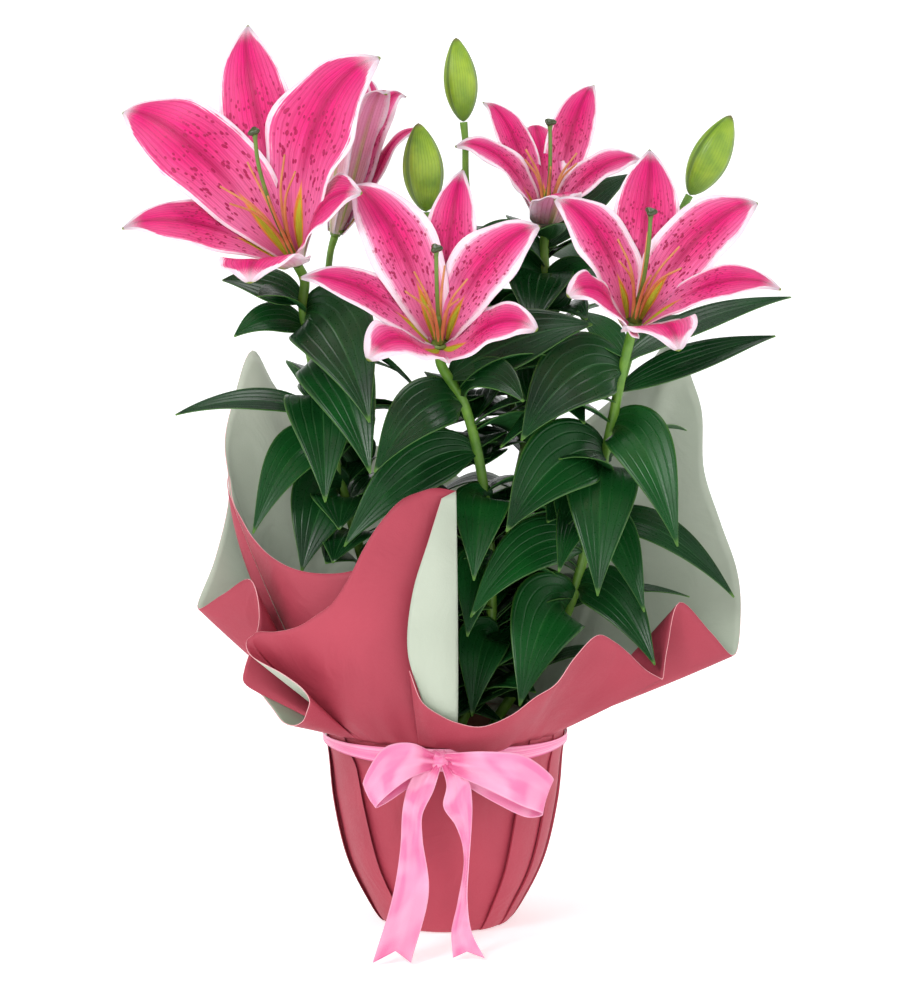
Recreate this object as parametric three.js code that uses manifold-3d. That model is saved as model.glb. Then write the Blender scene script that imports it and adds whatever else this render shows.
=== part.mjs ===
import * as THREE from "three";
import { mergeVertices } from "three/addons/utils/BufferGeometryUtils.js";
import Module from "manifold-3d";

// A potted lily in a paper wrap tied with a ribbon. Millimetres, +Z up. The origin is under the
// middle of the wrapped pot, on the surface it stands on, and -Y is the front with the bow.

const wasm = await Module();
wasm.setup();

// Driving dimensions
const CLEARANCE = 0.4;
const PAPER = 0.8;
const WAIST_RADIUS = 77;
const WAIST_WALL = 3.2;
const WAIST_BOTTOM = 115;
const WAIST_TOP = 132;
const WRAP_FLOOR_RADIUS = 42;
const PLEAT_EDGE = 1.4;
const RIBBON = 0.8;
const BAND_RADIUS = 80.2;
const BAND_BOTTOM = 117;
const BAND_TOP = 129.5;
const POT_LIFT = PAPER + CLEARANCE;
const POT_BASE_RADIUS = 39;
const POT_RIM_RADIUS = 74.2;
const POT_RIM_STEP = 3.5;
const POT_RIM_DROP = 9;
const POT_HEIGHT = 124;
const POT_WALL = 1.8;
const SOIL_TOP = 110;
const BULB_RADIUS = 14;
const BULB_HEIGHT = 30;
const BULB_LEVEL = 38;
const STEM_RADIUS = 3.6;
const STEM_STEPS = 10;
const PEDICEL_RADIUS = 2.6;
const SEAT_GAP = 0.3;
const LEAF_THICKNESS = 0.7;
const TEPAL_THICKNESS = 0.8;
const RECEPTACLE_RADIUS = 5.6;
const RECEPTACLE_HEIGHT = 5;
const CLAW_RADIUS = 4.6;
const OVARY_RADIUS = 3;
const STYLE_RADIUS = 1.3;
const STIGMA_RADIUS = 3.6;
const FILAMENT_RADIUS = 0.9;
const FILAMENT_COUNT = 6;
const GOLDEN_ANGLE = 137.5;

const colour = {
  wrap: 0xd0606f,
  ribbon: 0xf7a3c8,
  pot: 0x6b3a2a,
  soil: 0x2e2018,
  bulb: 0xe9dfb8,
  leaf: 0x1d5a31,
  bud: 0x8fb92f,
  tepal: 0xe83a8c,
  stamen: 0xc9b03c,
};

const finish = (hex, roughness) =>
  new THREE.MeshStandardMaterial({ color: hex, roughness, metalness: 0, side: THREE.DoubleSide });

const materials = {
  wrap: finish(colour.wrap, 0.75),
  ribbon: finish(colour.ribbon, 0.35),
  pot: finish(colour.pot, 0.5),
  soil: finish(colour.soil, 0.95),
  bulb: finish(colour.bulb, 0.8),
  leaf: finish(colour.leaf, 0.45),
  bud: finish(colour.bud, 0.45),
  tepal: finish(colour.tepal, 0.5),
  stamen: finish(colour.stamen, 0.5),
};

const vec = (p) => new THREE.Vector3(...p);
const radians = THREE.MathUtils.degToRad;
const mix = THREE.MathUtils.lerp;

// Solids

function manifoldOf(positions, triangles) {
  return new wasm.Manifold(
    new wasm.Mesh({ numProp: 3, vertProperties: positions, triVerts: triangles }),
  );
}

// A closed geometry as a solid, with collapsed faces left out and its faces turned outwards.
function solid(geometry) {
  const bare = geometry.clone();
  bare.deleteAttribute("normal");
  bare.deleteAttribute("uv");
  const merged = mergeVertices(bare, 1e-3);
  const kept = [];
  const index = merged.index.array;
  for (let i = 0; i < index.length; i += 3) {
    const [a, b, c] = [index[i], index[i + 1], index[i + 2]];
    if (a !== b && b !== c && c !== a) kept.push(a, b, c);
  }
  const positions = new Float32Array(merged.attributes.position.array);
  const made = manifoldOf(positions, new Uint32Array(kept));
  if (made.volume() > 0) return made;
  const turned = new Uint32Array(kept);
  for (let i = 0; i < turned.length; i += 3) [turned[i], turned[i + 1]] = [turned[i + 1], turned[i]];
  return manifoldOf(positions, turned);
}

// All solids as one. Hollows that joining seals are filled, and loose scraps are dropped.
function join(solids) {
  const whole = solids.reduce((sum, next) => sum.add(next));
  const pieces = whole.decompose().filter((piece) => piece.volume() > 0);
  return pieces.reduce((best, piece) => (piece.volume() > best.volume() ? piece : best));
}

function geometryOf(manifold) {
  const mesh = manifold.getMesh();
  const count = mesh.numVert;
  const positions = new Float32Array(count * 3);
  for (let i = 0; i < count; i++)
    positions.set(mesh.vertProperties.subarray(i * mesh.numProp, i * mesh.numProp + 3), i * 3);
  const geometry = new THREE.BufferGeometry();
  geometry.setAttribute("position", new THREE.BufferAttribute(positions, 3));
  geometry.setIndex(new THREE.BufferAttribute(new Uint32Array(mesh.triVerts), 1));
  geometry.computeVertexNormals();
  return geometry;
}

// A thin closed sheet. place(u, v, side) gives a point of the upper face (side 1) or the lower
// face (side -1), and both faces are split into triangles alike. A ring closes on itself in u.
function sheet(across, along, place, ring = false) {
  const columns = ring ? across : across + 1;
  const positions = [];
  for (const side of [1, -1])
    for (let j = 0; j <= along; j++)
      for (let i = 0; i < columns; i++) positions.push(...place(i / across, j / along, side));
  const layer = columns * (along + 1);
  const at = (i, j) => j * columns + (i % columns);
  const triangles = [];
  const quad = (a, b, c, d) => triangles.push(a, b, c, a, c, d);
  for (let j = 0; j < along; j++)
    for (let i = 0; i < across; i++) {
      const [a, b, c, d] = [at(i, j), at(i + 1, j), at(i + 1, j + 1), at(i, j + 1)];
      quad(a, b, c, d);
      triangles.push(a + layer, c + layer, b + layer, a + layer, d + layer, c + layer);
    }
  const rim = (p, q) => quad(p + layer, q + layer, q, p);
  for (let i = 0; i < across; i++) {
    rim(at(i, 0), at(i + 1, 0));
    rim(at(i + 1, along), at(i, along));
  }
  if (!ring)
    for (let j = 0; j < along; j++) {
      rim(at(across, j), at(across, j + 1));
      rim(at(0, j + 1), at(0, j));
    }
  const geometry = new THREE.BufferGeometry();
  geometry.setAttribute("position", new THREE.Float32BufferAttribute(positions, 3));
  geometry.setIndex(triangles);
  return solid(geometry);
}

// A sheet of even thickness on a surface(u, v), with its upper face where u cross v points.
function surfaceSheet(across, along, surface, thickness) {
  const step = 1e-3;
  return sheet(across, along, (u, v, side) => {
    const alongU = surface(Math.min(1, u + step), v).sub(surface(Math.max(0, u - step), v));
    const alongV = surface(u, Math.min(1, v + step)).sub(surface(u, Math.max(0, v - step)));
    const normal = alongU.cross(alongV).normalize();
    return surface(u, v).addScaledVector(normal, (side * thickness) / 2);
  });
}

// A round bar with flat ends along a smooth line through the points
function tube(points, radius, sides, steps) {
  const circle = new THREE.Shape();
  for (let i = 0; i < sides; i++) {
    const turn = (i / sides) * 2 * Math.PI;
    const [x, y] = [radius * Math.cos(turn), radius * Math.sin(turn)];
    if (i === 0) circle.moveTo(x, y);
    else circle.lineTo(x, y);
  }
  circle.closePath();
  const path = new THREE.CatmullRomCurve3(points.map(vec));
  return solid(
    new THREE.ExtrudeGeometry(circle, { steps, bevelEnabled: false, extrudePath: path }),
  );
}

// A profile of [radius, height] turned about +Z
function lathe(profile, segments) {
  const geometry = new THREE.LatheGeometry(
    profile.map(([x, y]) => new THREE.Vector2(x, y)),
    segments,
  );
  return geometry.rotateX(Math.PI / 2);
}

const cubic = (p, t) => {
  const s = 1 - t;
  return new THREE.Vector3()
    .addScaledVector(p[0], s * s * s)
    .addScaledVector(p[1], 3 * s * s * t)
    .addScaledVector(p[2], 3 * s * t * t)
    .addScaledVector(p[3], t * t * t);
};

const cubicTangent = (p, t) => {
  const s = 1 - t;
  return new THREE.Vector3()
    .addScaledVector(p[0], -3 * s * s)
    .addScaledVector(p[1], 3 * s * s - 6 * s * t)
    .addScaledVector(p[2], 6 * s * t - 3 * t * t)
    .addScaledVector(p[3], 3 * t * t)
    .normalize();
};

// Leaves and tepals are blades: a midrib, a facing direction, a half width and a lift across it.
function blade(shape, thickness, across, along, from = 0) {
  return sheet(across, along, (u, v, side) => {
    const t = mix(from, 1, v);
    const s = 2 * u - 1;
    const middle = cubic(shape.midrib, t);
    const tangent = cubicTangent(shape.midrib, t);
    const sideways = tangent.clone().cross(shape.facing).normalize();
    const normal = sideways.clone().cross(tangent);
    return middle
      .addScaledVector(sideways, s * shape.width(t))
      .addScaledVector(normal, shape.lift(s, t) + (side * thickness) / 2);
  });
}

// The wrap: a pleated cup round the pot, a bound waist and a collar of folded sheets

// The cup from the middle of its floor up to the waist: radius, height, wall and pleat share
const cupRows = [
  { radius: 0, height: 0, wall: 0, pleat: 0 },
  { radius: WRAP_FLOOR_RADIUS, height: 0, wall: 0.2, pleat: 0 },
  { radius: 54, height: 18, wall: PAPER, pleat: 0.9 },
  { radius: 66, height: 44, wall: PAPER, pleat: 1 },
  { radius: 74.5, height: 83, wall: PAPER, pleat: 1 },
  { radius: WAIST_RADIUS, height: WAIST_BOTTOM, wall: PAPER, pleat: 0.5 },
  { radius: WAIST_RADIUS + 0.8, height: WAIST_BOTTOM + 2, wall: 2.6, pleat: 0 },
  { radius: WAIST_RADIUS + 1.4, height: WAIST_TOP, wall: WAIST_WALL, pleat: 0 },
];
// Each pleat's edge, in degrees from the front towards +X, and its depth
const cupPleats = [
  [-141, 2.4],
  [-110, 2.8],
  [-80, 3],
  [-57, 2.6],
  [-33, 2.4],
  [46, 2.6],
  [68, 3],
  [98, 2.8],
  [128, 2.4],
  [160, 2.6],
  [190, 2.4],
];
const PANEL_SWEEP = 15;

// Turn and inward step of each column, going round the cup
function cupColumns() {
  const columns = [];
  cupPleats.forEach(([edge, depth], i) => {
    const next = i + 1 < cupPleats.length ? cupPleats[i + 1][0] : cupPleats[0][0] + 360;
    const panels = Math.max(2, Math.round((next - edge) / PANEL_SWEEP));
    for (let k = 0; k < panels; k++) {
      const along = k / panels;
      columns.push([mix(edge, next, along), depth * (1 - along)]);
    }
    columns.push([next - PLEAT_EDGE, 0]);
  });
  return columns;
}

function wrapCup() {
  const columns = cupColumns();
  return sheet(
    columns.length,
    cupRows.length - 1,
    (u, v, side) => {
      const row = cupRows[Math.round(v * (cupRows.length - 1))];
      const [turn, depth] = columns[Math.round(u * columns.length) % columns.length];
      const inside = side < 0;
      const radius = row.radius - depth * row.pleat - (inside ? row.wall : 0);
      const height = row.height + (inside && row.height === 0 ? PAPER : 0);
      const angle = radians(turn);
      return new THREE.Vector3(radius * Math.sin(angle), -radius * Math.cos(angle), height);
    },
    true,
  );
}

// Each collar sheet leaves the waist and ends in its rim, given from one side to the other.
// belly pushes the middle of the sheet out from the axis. feet, where given, are the turns at
// the waist of the rim's two ends; elsewhere each point of the rim has its foot below it.
const collarSheets = {
  back: {
    columns: 27,
    rows: 3,
    belly: 4,
    waist: 76,
    rim: [
      [138, -64, 172],
      [142, -44, 188],
      [151, -28, 215],
      [172, -22, 194],
      [188, -10, 177],
      [195, 18, 202],
      [194, 36, 226],
      [184, 55, 257],
      [174, 68, 290],
      [173, 80, 329],
      [165, 88, 355],
      [157, 92, 380],
      [133, 105, 351],
      [79, 114, 305],
      [27, 116, 271],
      [-4, 116, 288],
      [-64, 108, 308],
      [-112, 95, 339],
      [-130, 85, 369],
      [-142, 70, 337],
      [-147, 55, 311],
      [-143, 35, 277],
      [-151, 12, 237],
      [-161, -8, 208],
      [-143, -28, 220],
      [-124, -44, 232],
      [-118, -54, 208],
      [-127, -62, 178],
      [-128, -60, 169],
      [-117, -52, 159],
    ],
  },
  frontLeft: {
    columns: 9,
    rows: 3,
    belly: 8,
    waist: 76.8,
    feet: [-66, -30],
    rim: [
      [-141, 14, 292],
      [-138, 2, 277],
      [-131, -12, 266],
      [-124, -24, 257],
      [-110, -42, 246],
      [-92, -58, 240],
      [-67, -70, 240],
      [-44, -74, 246],
    ],
  },
  flap: {
    columns: 12,
    rows: 4,
    belly: 12,
    waist: 77.6,
    feet: [-40, 5],
    rim: [
      [-124, -68, 197],
      [-118, -73, 203],
      [-107, -78, 204],
      [-92, -88, 209],
      [-80, -93, 217],
      [-70, -96, 225],
      [-59, -97, 242],
      [-51, -96, 258],
      [-41, -94, 274],
      [-27, -91, 289],
      [-15, -89, 294],
      [-6, -87, 296],
      [7, -85, 294],
    ],
  },
  roll: {
    columns: 12,
    rows: 3,
    belly: 0,
    waist: 77.6,
    feet: [-40, -60],
    rim: [
      [-118, -72, 203],
      [-125, -70, 197],
      [-123, -77, 190],
      [-100, -97, 180],
      [-88, -103, 172],
      [-84, -103, 165],
      [-86, -100, 157],
      [-89, -94, 150],
      [-95, -87, 146],
      [-102, -80, 147],
      [-109, -72, 154],
      [-116, -64, 161],
    ],
  },
  frontRight: {
    columns: 14,
    rows: 3,
    belly: 3,
    waist: 78.2,
    rim: [
      [-22, -104, 184],
      [-14, -103, 164],
      [-2, -102, 155],
      [7, -102, 151],
      [22, -101, 148],
      [41, -100, 155],
      [56, -98, 166],
      [69, -96, 174],
      [81, -92, 190],
      [96, -84, 203],
      [106, -78, 198],
      [115, -72, 190],
      [127, -68, 178],
      [138, -64, 171],
    ],
  },
};

const COLLAR_FOOT = WAIST_TOP - 2;

function collarSurface({ rim, belly, waist, feet }) {
  const curve = new THREE.CatmullRomCurve3(rim.map(vec));
  return (u, v) => {
    const edge = curve.getPoint(u);
    const azimuth = feet ? radians(mix(feet[0], feet[1], u)) : Math.atan2(edge.x, -edge.y);
    const outward = new THREE.Vector3(Math.sin(azimuth), -Math.cos(azimuth), 0);
    const foot = outward.clone().multiplyScalar(waist);
    foot.z = COLLAR_FOOT;
    const middle = foot.clone().lerp(edge, 0.5).addScaledVector(outward, belly);
    const s = 1 - v;
    return foot
      .multiplyScalar(s * s)
      .addScaledVector(middle, 2 * s * v)
      .addScaledVector(edge, v * v);
  };
}

// The flap's free side is folded outwards along an upright crease, so its inside shows.
const lapelCrease = [
  [7, -79, 131],
  [8, -94, 150],
  [8, -94, 210],
  [7, -85, 294],
];
const lapelEdge = [
  [-8, -81, 133],
  [-14, -97, 163],
  [-23, -100, 195],
  [-20, -101, 232],
  [-10, -98, 265],
  [-2, -91, 290],
];

function lapelSurface() {
  const crease = new THREE.CatmullRomCurve3(lapelCrease.map(vec));
  const edge = new THREE.CatmullRomCurve3(lapelEdge.map(vec));
  return (u, v) => {
    const bow = 3 * Math.sin(Math.PI * u) * Math.sin(Math.PI * v);
    return crease.getPoint(v).lerp(edge.getPoint(v), u).add(new THREE.Vector3(0, -bow, 0));
  };
}

function paperWrap() {
  const sheets = Object.values(collarSheets).map((part) =>
    surfaceSheet(part.columns, part.rows, collarSurface(part), PAPER),
  );
  const lapel = surfaceSheet(3, 5, lapelSurface(), PAPER);
  return join([wrapCup(), ...sheets, lapel]);
}

// The ribbon: a band round the waist, a knot, two loops and two tails, one length of satin.
// A strip is given by its two long edges.
const knot = { centre: [-4, -86.4, 124], size: [7, 7, 9] };

const ribbonStrips = {
  leftLoop: {
    steps: 9,
    lower: [
      [-6, -90, 119],
      [-22, -104, 116],
      [-36, -108, 106],
      [-43, -106, 98],
      [-38, -97, 98],
      [-23, -92, 107],
      [-6, -87, 119],
    ],
    upper: [
      [-6, -92, 129],
      [-22, -101, 138],
      [-38, -103, 135],
      [-51, -100, 112],
      [-46, -90, 109],
      [-26, -89, 123],
      [-6, -86, 128],
    ],
  },
  rightLoop: {
    steps: 9,
    lower: [
      [-3, -90, 119],
      [24, -103, 110],
      [48, -106, 99],
      [61, -103, 93],
      [52, -95, 89],
      [31, -92, 98],
      [-3, -87, 118],
    ],
    upper: [
      [-3, -92, 129],
      [26, -99, 132],
      [50, -98, 129],
      [68, -94, 113],
      [60, -88, 110],
      [34, -89, 119],
      [-3, -86, 127],
    ],
  },
  leftTail: {
    steps: 7,
    lower: [
      [-10, -92, 124],
      [-21, -96, 114],
      [-26, -99, 98],
      [-28, -103, 70],
      [-33, -107, 40],
      [-45, -119, 2.2],
    ],
    upper: [
      [-2, -93, 123],
      [-7, -98, 107],
      [-14, -101, 92],
      [-14, -104, 78],
      [-10, -109, 45],
      [-21, -119, 2.2],
    ],
  },
  rightTail: {
    steps: 9,
    lower: [
      [-3, -93, 124],
      [1, -97, 110],
      [-1, -99, 97],
      [7, -102, 85],
      [12, -97, 64],
      [8, -101, 36],
      [4, -105, 18],
      [5, -107, 2.2],
    ],
    upper: [
      [5, -92, 124],
      [15, -97, 113],
      [17, -98, 101],
      [17, -98, 88],
      [15, -105, 64],
      [14, -107, 38],
      [17, -107, 18],
      [25, -108, 2.2],
    ],
  },
};

function stripSurface({ lower, upper }) {
  const low = new THREE.CatmullRomCurve3(lower.map(vec));
  const high = new THREE.CatmullRomCurve3(upper.map(vec));
  return (u, v) => low.getPoint(v).lerp(high.getPoint(v), u);
}

function ribbon() {
  const band = solid(
    lathe(
      [
        [BAND_RADIUS - RIBBON, BAND_BOTTOM],
        [BAND_RADIUS, BAND_BOTTOM],
        [BAND_RADIUS, BAND_TOP],
        [BAND_RADIUS - RIBBON, BAND_TOP],
        [BAND_RADIUS - RIBBON, BAND_BOTTOM],
      ],
      30,
    ),
  );
  const bulge = solid(
    new THREE.SphereGeometry(1, 8, 6).scale(...knot.size).translate(...knot.centre),
  );
  const strips = Object.values(ribbonStrips).map((strip) =>
    surfaceSheet(2, strip.steps, stripSurface(strip), RIBBON),
  );
  return join([band, bulge, ...strips]);
}

// The pot, the soil and the bulbs in it

// Corners of the pot's outside: base, under the rim's step, rim's lower edge and rim's top
const potProfile = [
  [POT_BASE_RADIUS, POT_LIFT],
  [POT_RIM_RADIUS - POT_RIM_STEP, POT_HEIGHT - POT_RIM_DROP - 2],
  [POT_RIM_RADIUS, POT_HEIGHT - POT_RIM_DROP],
  [POT_RIM_RADIUS, POT_HEIGHT],
];

function pot() {
  const [base, step, , rim] = potProfile;
  const inside = [
    [rim[0] - POT_WALL, rim[1]],
    [step[0] - POT_WALL, step[1]],
    [base[0] - POT_WALL, base[1] + POT_WALL],
  ];
  const floor = [0, POT_LIFT + POT_WALL];
  return solid(lathe([[0, POT_LIFT], ...potProfile, ...inside, floor], 24));
}

// The pot's inner radius at a height below the rim's step
function potInside(height) {
  const [base, step] = potProfile;
  const share = (height - base[1] - POT_WALL) / (step[1] - base[1] - POT_WALL);
  return mix(base[0], step[0], share) - POT_WALL;
}

function soilBlock() {
  const bottom = POT_LIFT + POT_WALL + CLEARANCE;
  const edge = SOIL_TOP - 2;
  const profile = [
    [0, bottom],
    [potInside(bottom) - CLEARANCE, bottom],
    [potInside(edge) - CLEARANCE, edge],
    [potInside(edge) - 8, SOIL_TOP],
    [24, SOIL_TOP + 2],
    [0, SOIL_TOP + 1],
  ];
  return solid(lathe(profile, 24));
}

// A bulb under a stem's foot, or the pocket for it when it is grown by a clearance
function bulb([x, y], grow = 0) {
  const radius = BULB_RADIUS + grow;
  const half = BULB_HEIGHT / 2 + grow;
  const profile = [
    [0, -half],
    [radius * 0.55, -half * 0.9],
    [radius, -half * 0.25],
    [radius * 0.85, half * 0.4],
    [radius * 0.4, half * 0.85],
    [0, half],
  ];
  return solid(lathe(profile, 6).translate(x, y, BULB_LEVEL));
}

// Stems, each with the pedicel that branches from it. A stem stands on its bulb, rises straight
// out of the soil and ends under its top flower.
const stems = {
  left: {
    foot: [-27, -4],
    path: [
      [-40, -4, 190],
      [-62, -8, 270],
      [-80, -18, 345],
      [-90, -31, 405],
    ],
    top: "left",
    pedicel: [
      [-76, -14, 330],
      [-78, 8, 380],
    ],
    bears: "half_open",
  },
  centre: {
    foot: [6, -26],
    path: [
      [28, -20, 182],
      [29, -25, 242],
      [24, -32, 295],
      [12, -50, 345],
    ],
    top: "centre",
    pedicel: [
      [17, -44, 330],
      [2, -30, 390],
    ],
    bears: "bud_centre",
  },
  right: {
    foot: [29, 6],
    path: [
      [78, -2, 200],
      [97, -12, 279],
      [107, -28, 333],
      [113, -40, 368],
    ],
    top: "right",
    pedicel: [
      [104, -22, 318],
      [122, -4, 380],
      [146, 10, 440],
    ],
    bears: "bud_right",
  },
  back: {
    foot: [0, 27],
    path: [
      [22, 36, 190],
      [44, 34, 270],
      [60, 28, 350],
      [65, 20, 415],
    ],
    top: "back",
    pedicel: [
      [52, 31, 310],
      [28, 34, 400],
      [14, 31, 480],
    ],
    bears: "bud_back",
  },
};

// Blooms. lean is the heading of the axis (degrees from the front towards +X) and its tilt from
// upright. A tepal has its turn about the axis (0 is up, + towards +X), its reach, its spread
// from the axis, its half width and how far its tip curls back. The first three are the outer
// tepals and the last three the broad inner ones. The front tepals, which rise as a bowl before
// they curl out, have the turn of their root as well. style is the pistil's length, 0 where a
// half open flower still hides it.
const blooms = {
  left: {
    base: [-93, -40, 432],
    lean: [-35, 36],
    style: 92,
    tepals: [
      [-26, 160, 43, 23, 0.03],
      [90, 96, 52, 24, 0.06],
      [-132, 116, 50, 20, 0.02],
      [34, 143, 46, 34, 0.05],
      [-80, 150, 45, 28, 0.05],
      [160, 84, 60, 26, 0.06, 174],
    ],
  },
  centre: {
    base: [-3, -70, 381],
    lean: [-4, 36],
    style: 70,
    tepals: [
      [-100, 108, 50, 15, 0.03],
      [9, 115, 46, 15.5, 0.03],
      [118, 84, 58, 18, 0.05, 140],
      [-42, 117, 45, 22, 0.04],
      [55, 100, 50, 21, 0.05],
      [-150, 88, 58, 21, 0.06, -168],
    ],
  },
  right: {
    base: [118, -50, 393],
    lean: [14, 35],
    style: 80,
    tepals: [
      [12, 116, 46, 20, 0.03],
      [128, 112, 50, 15, 0.06],
      [-118, 84, 52, 19, 0.04, -140],
      [-42, 96, 50, 19, 0.05],
      [68, 112, 48, 21, 0.05],
      [178, 86, 60, 21, 0.06, 172],
    ],
  },
  back: {
    base: [65, 15, 453],
    lean: [10, 20],
    style: 68,
    tepals: [
      [-36, 94, 42, 12, 0.03],
      [33, 106, 42, 14, 0.03],
      [178, 58, 50, 16, 0.06, 178],
      [-86, 84, 48, 14, 0.05],
      [-2, 76, 46, 15, 0.04],
      [96, 78, 50, 14, 0.05],
    ],
  },
  half_open: {
    base: [-72, 30, 448],
    lean: [70, 16],
    style: 0,
    tepals: [
      [-78, 126, 26, 13, 0.02],
      [62, 112, 24, 13, 0.02],
      [172, 92, 26, 13, 0.02],
      [-8, 116, 15, 12, 0.02],
      [118, 104, 17, 12, 0.02],
      [-128, 106, 16, 12, 0.02],
    ],
  },
};

function bloomFrame({ base, lean }) {
  const [heading, tilt] = lean.map(radians);
  const axis = new THREE.Vector3(
    Math.sin(tilt) * Math.sin(heading),
    -Math.sin(tilt) * Math.cos(heading),
    Math.cos(tilt),
  );
  const up = new THREE.Vector3(0, 0, 1);
  up.addScaledVector(axis, -up.dot(axis)).normalize();
  const right = up.clone().cross(axis);
  return { base: vec(base), axis, up, right };
}

// The point of a bloom that lies out from its axis at a turn, and high along the axis
function bloomPoint(frame, turn, out, high) {
  const radial = radialOf(frame, turn);
  return frame.base.clone().addScaledVector(radial, out).addScaledVector(frame.axis, high);
}

function radialOf(frame, turn) {
  const angle = radians(turn);
  return frame.up
    .clone()
    .multiplyScalar(Math.cos(angle))
    .addScaledVector(frame.right, Math.sin(angle));
}

// The two handles of a tepal's midrib, as shares of its reach: throat and rise place the lower
// one, and back and belly the upper one. claw is where its root stands on the receptacle,
// fullness makes its outline slimmer, hollow cups its lower half, and front turns its face to
// the front.
const outerTepal = {
  claw: [CLAW_RADIUS, 2],
  throat: 0.19,
  rise: 0.34,
  back: 0.34,
  belly: -0.05,
  fullness: 1,
  hollow: 0.25,
  front: 0.4,
};
const innerTepal = { ...outerTepal, throat: 0.08, belly: 0.03, fullness: 0.9, hollow: 0.4 };
const bowlTepal = {
  claw: [3, 3],
  throat: 0.3,
  rise: 0.12,
  back: 0.42,
  belly: 0.08,
  fullness: 0.85,
  hollow: 0.4,
  front: 0,
};

function tepalShape(frame, [turn, reach, spread, half, curl, root = turn], kind) {
  const out = reach * Math.sin(radians(spread));
  const high = reach * Math.cos(radians(spread));
  const [claw, level] = kind.claw;
  const midrib = [
    bloomPoint(frame, root, claw, level),
    bloomPoint(frame, root, claw + reach * kind.throat, reach * kind.rise),
    bloomPoint(frame, turn, out - reach * kind.back, high + reach * (curl + kind.belly)),
    bloomPoint(frame, turn, out, high),
  ];
  const facing = frame.axis.clone().sub(radialOf(frame, turn)).normalize();
  facing.addScaledVector(new THREE.Vector3(0, -1, 0), kind.front).normalize();
  const outline = (t) => Math.sin(Math.PI * t ** 1.05) ** kind.fullness;
  const width = (t) => 0.5 + half * outline(Math.min(t, 0.9999)) + 1.8 * (1 - t) ** 4;
  const lift = (s, t) => s * s * width(t) * mix(kind.hollow, -0.2, t);
  return { midrib, facing, width, lift };
}

// The six tepals joined at their claws on the receptacle
function bloomTepals(spec) {
  const frame = bloomFrame(spec);
  const profile = [
    [0, 0],
    [RECEPTACLE_RADIUS * 0.6, 0],
    [RECEPTACLE_RADIUS, RECEPTACLE_HEIGHT],
    [0, RECEPTACLE_HEIGHT],
  ];
  const seat = new THREE.Matrix4().makeBasis(frame.right, frame.up.clone().negate(), frame.axis);
  const receptacle = lathe(profile, 8).applyMatrix4(seat.setPosition(frame.base));
  const blades = spec.tepals.map((tepal, i) => {
    const inner = i > 2;
    const kind = tepal.length > 5 ? bowlTepal : inner ? innerTepal : outerTepal;
    const shape = tepalShape(frame, tepal, kind);
    return blade(shape, TEPAL_THICKNESS, inner && spec.style ? 4 : 2, spec.style ? 4 : 3);
  });
  return join([solid(receptacle), ...blades]);
}

// A flattened ball with three lobes round +Y
function stigmaShape() {
  const geometry = new THREE.SphereGeometry(STIGMA_RADIUS, 6, 4);
  const points = geometry.attributes.position;
  for (let i = 0; i < points.count; i++) {
    const turn = Math.atan2(points.getZ(i), points.getX(i));
    const swell = 1 + 0.22 * Math.cos(3 * turn);
    points.setXYZ(i, points.getX(i) * swell, points.getY(i) * 0.6, points.getZ(i) * swell);
  }
  return geometry;
}

// The pistil, which leans as it grows, and the filaments round its foot
function bloomStamens(spec) {
  const frame = bloomFrame(spec);
  const at = (out, high, turn = 0) => bloomPoint(frame, turn, out, high).toArray();
  const foot = RECEPTACLE_HEIGHT + CLEARANCE;
  const sweep = spec.style * 0.16;
  const ovary = tube([at(0, foot), at(0, foot + 4), at(0, foot + 22)], OVARY_RADIUS, 6, 1);
  const stylePath = [at(0, 20), at(0, 40), at(sweep * 0.4, spec.style * 0.8), at(sweep, spec.style)];
  const style = tube(stylePath, STYLE_RADIUS, 5, 4);
  const seat = new THREE.Matrix4().makeBasis(frame.right, frame.axis, frame.up);
  seat.setPosition(bloomPoint(frame, 0, sweep, spec.style + 1));
  const stigma = solid(stigmaShape().applyMatrix4(seat));
  const reach = spec.style * 0.78;
  const filaments = [];
  for (let i = 0; i < FILAMENT_COUNT; i++) {
    const turn = (i * 360) / FILAMENT_COUNT + 12;
    const path = [
      at(1.5, foot + 1.4, turn),
      at(3.4, reach * 0.35, turn),
      at(reach * 0.16, reach * 0.68, turn),
      at(reach * 0.36, reach * 0.94, turn),
    ];
    filaments.push(tube(path, FILAMENT_RADIUS, 3, 2));
  }
  return join([ovary, style, stigma, ...filaments]);
}

// Buds: foot, tip and greatest radius. Three shallow grooves run from end to end.
const buds = {
  bud_centre: { foot: [-12, -20, 465], tip: [-17, -20, 521], radius: 12.5 },
  bud_back: { foot: [12, 30, 522], tip: [7, 30, 576], radius: 10.5 },
  bud_right: { foot: [158, 10, 475], tip: [184, 8, 526], radius: 12 },
};
const BUD_ROWS = 7;

function bud({ foot, tip, radius }) {
  const length = vec(tip).distanceTo(vec(foot));
  const profile = [[0, 0]];
  for (let i = 1; i < BUD_ROWS; i++) {
    const t = i / BUD_ROWS;
    profile.push([radius * Math.sin(Math.PI * t ** 0.9) ** 0.72 + 0.4, t * length]);
  }
  profile.push([0, length]);
  const geometry = lathe(profile, 9);
  const points = geometry.attributes.position;
  for (let i = 0; i < points.count; i++) {
    const turn = Math.atan2(points.getY(i), points.getX(i));
    const swell = 1 + 0.05 * Math.cos(3 * turn);
    points.setXYZ(i, points.getX(i) * swell, points.getY(i) * swell, points.getZ(i));
  }
  const upright = new THREE.Vector3(0, 0, 1);
  const along = vec(tip).sub(vec(foot)).normalize();
  const turned = new THREE.Quaternion().setFromUnitVectors(upright, along);
  return solid(geometry.applyQuaternion(turned).translate(...foot));
}

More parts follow.
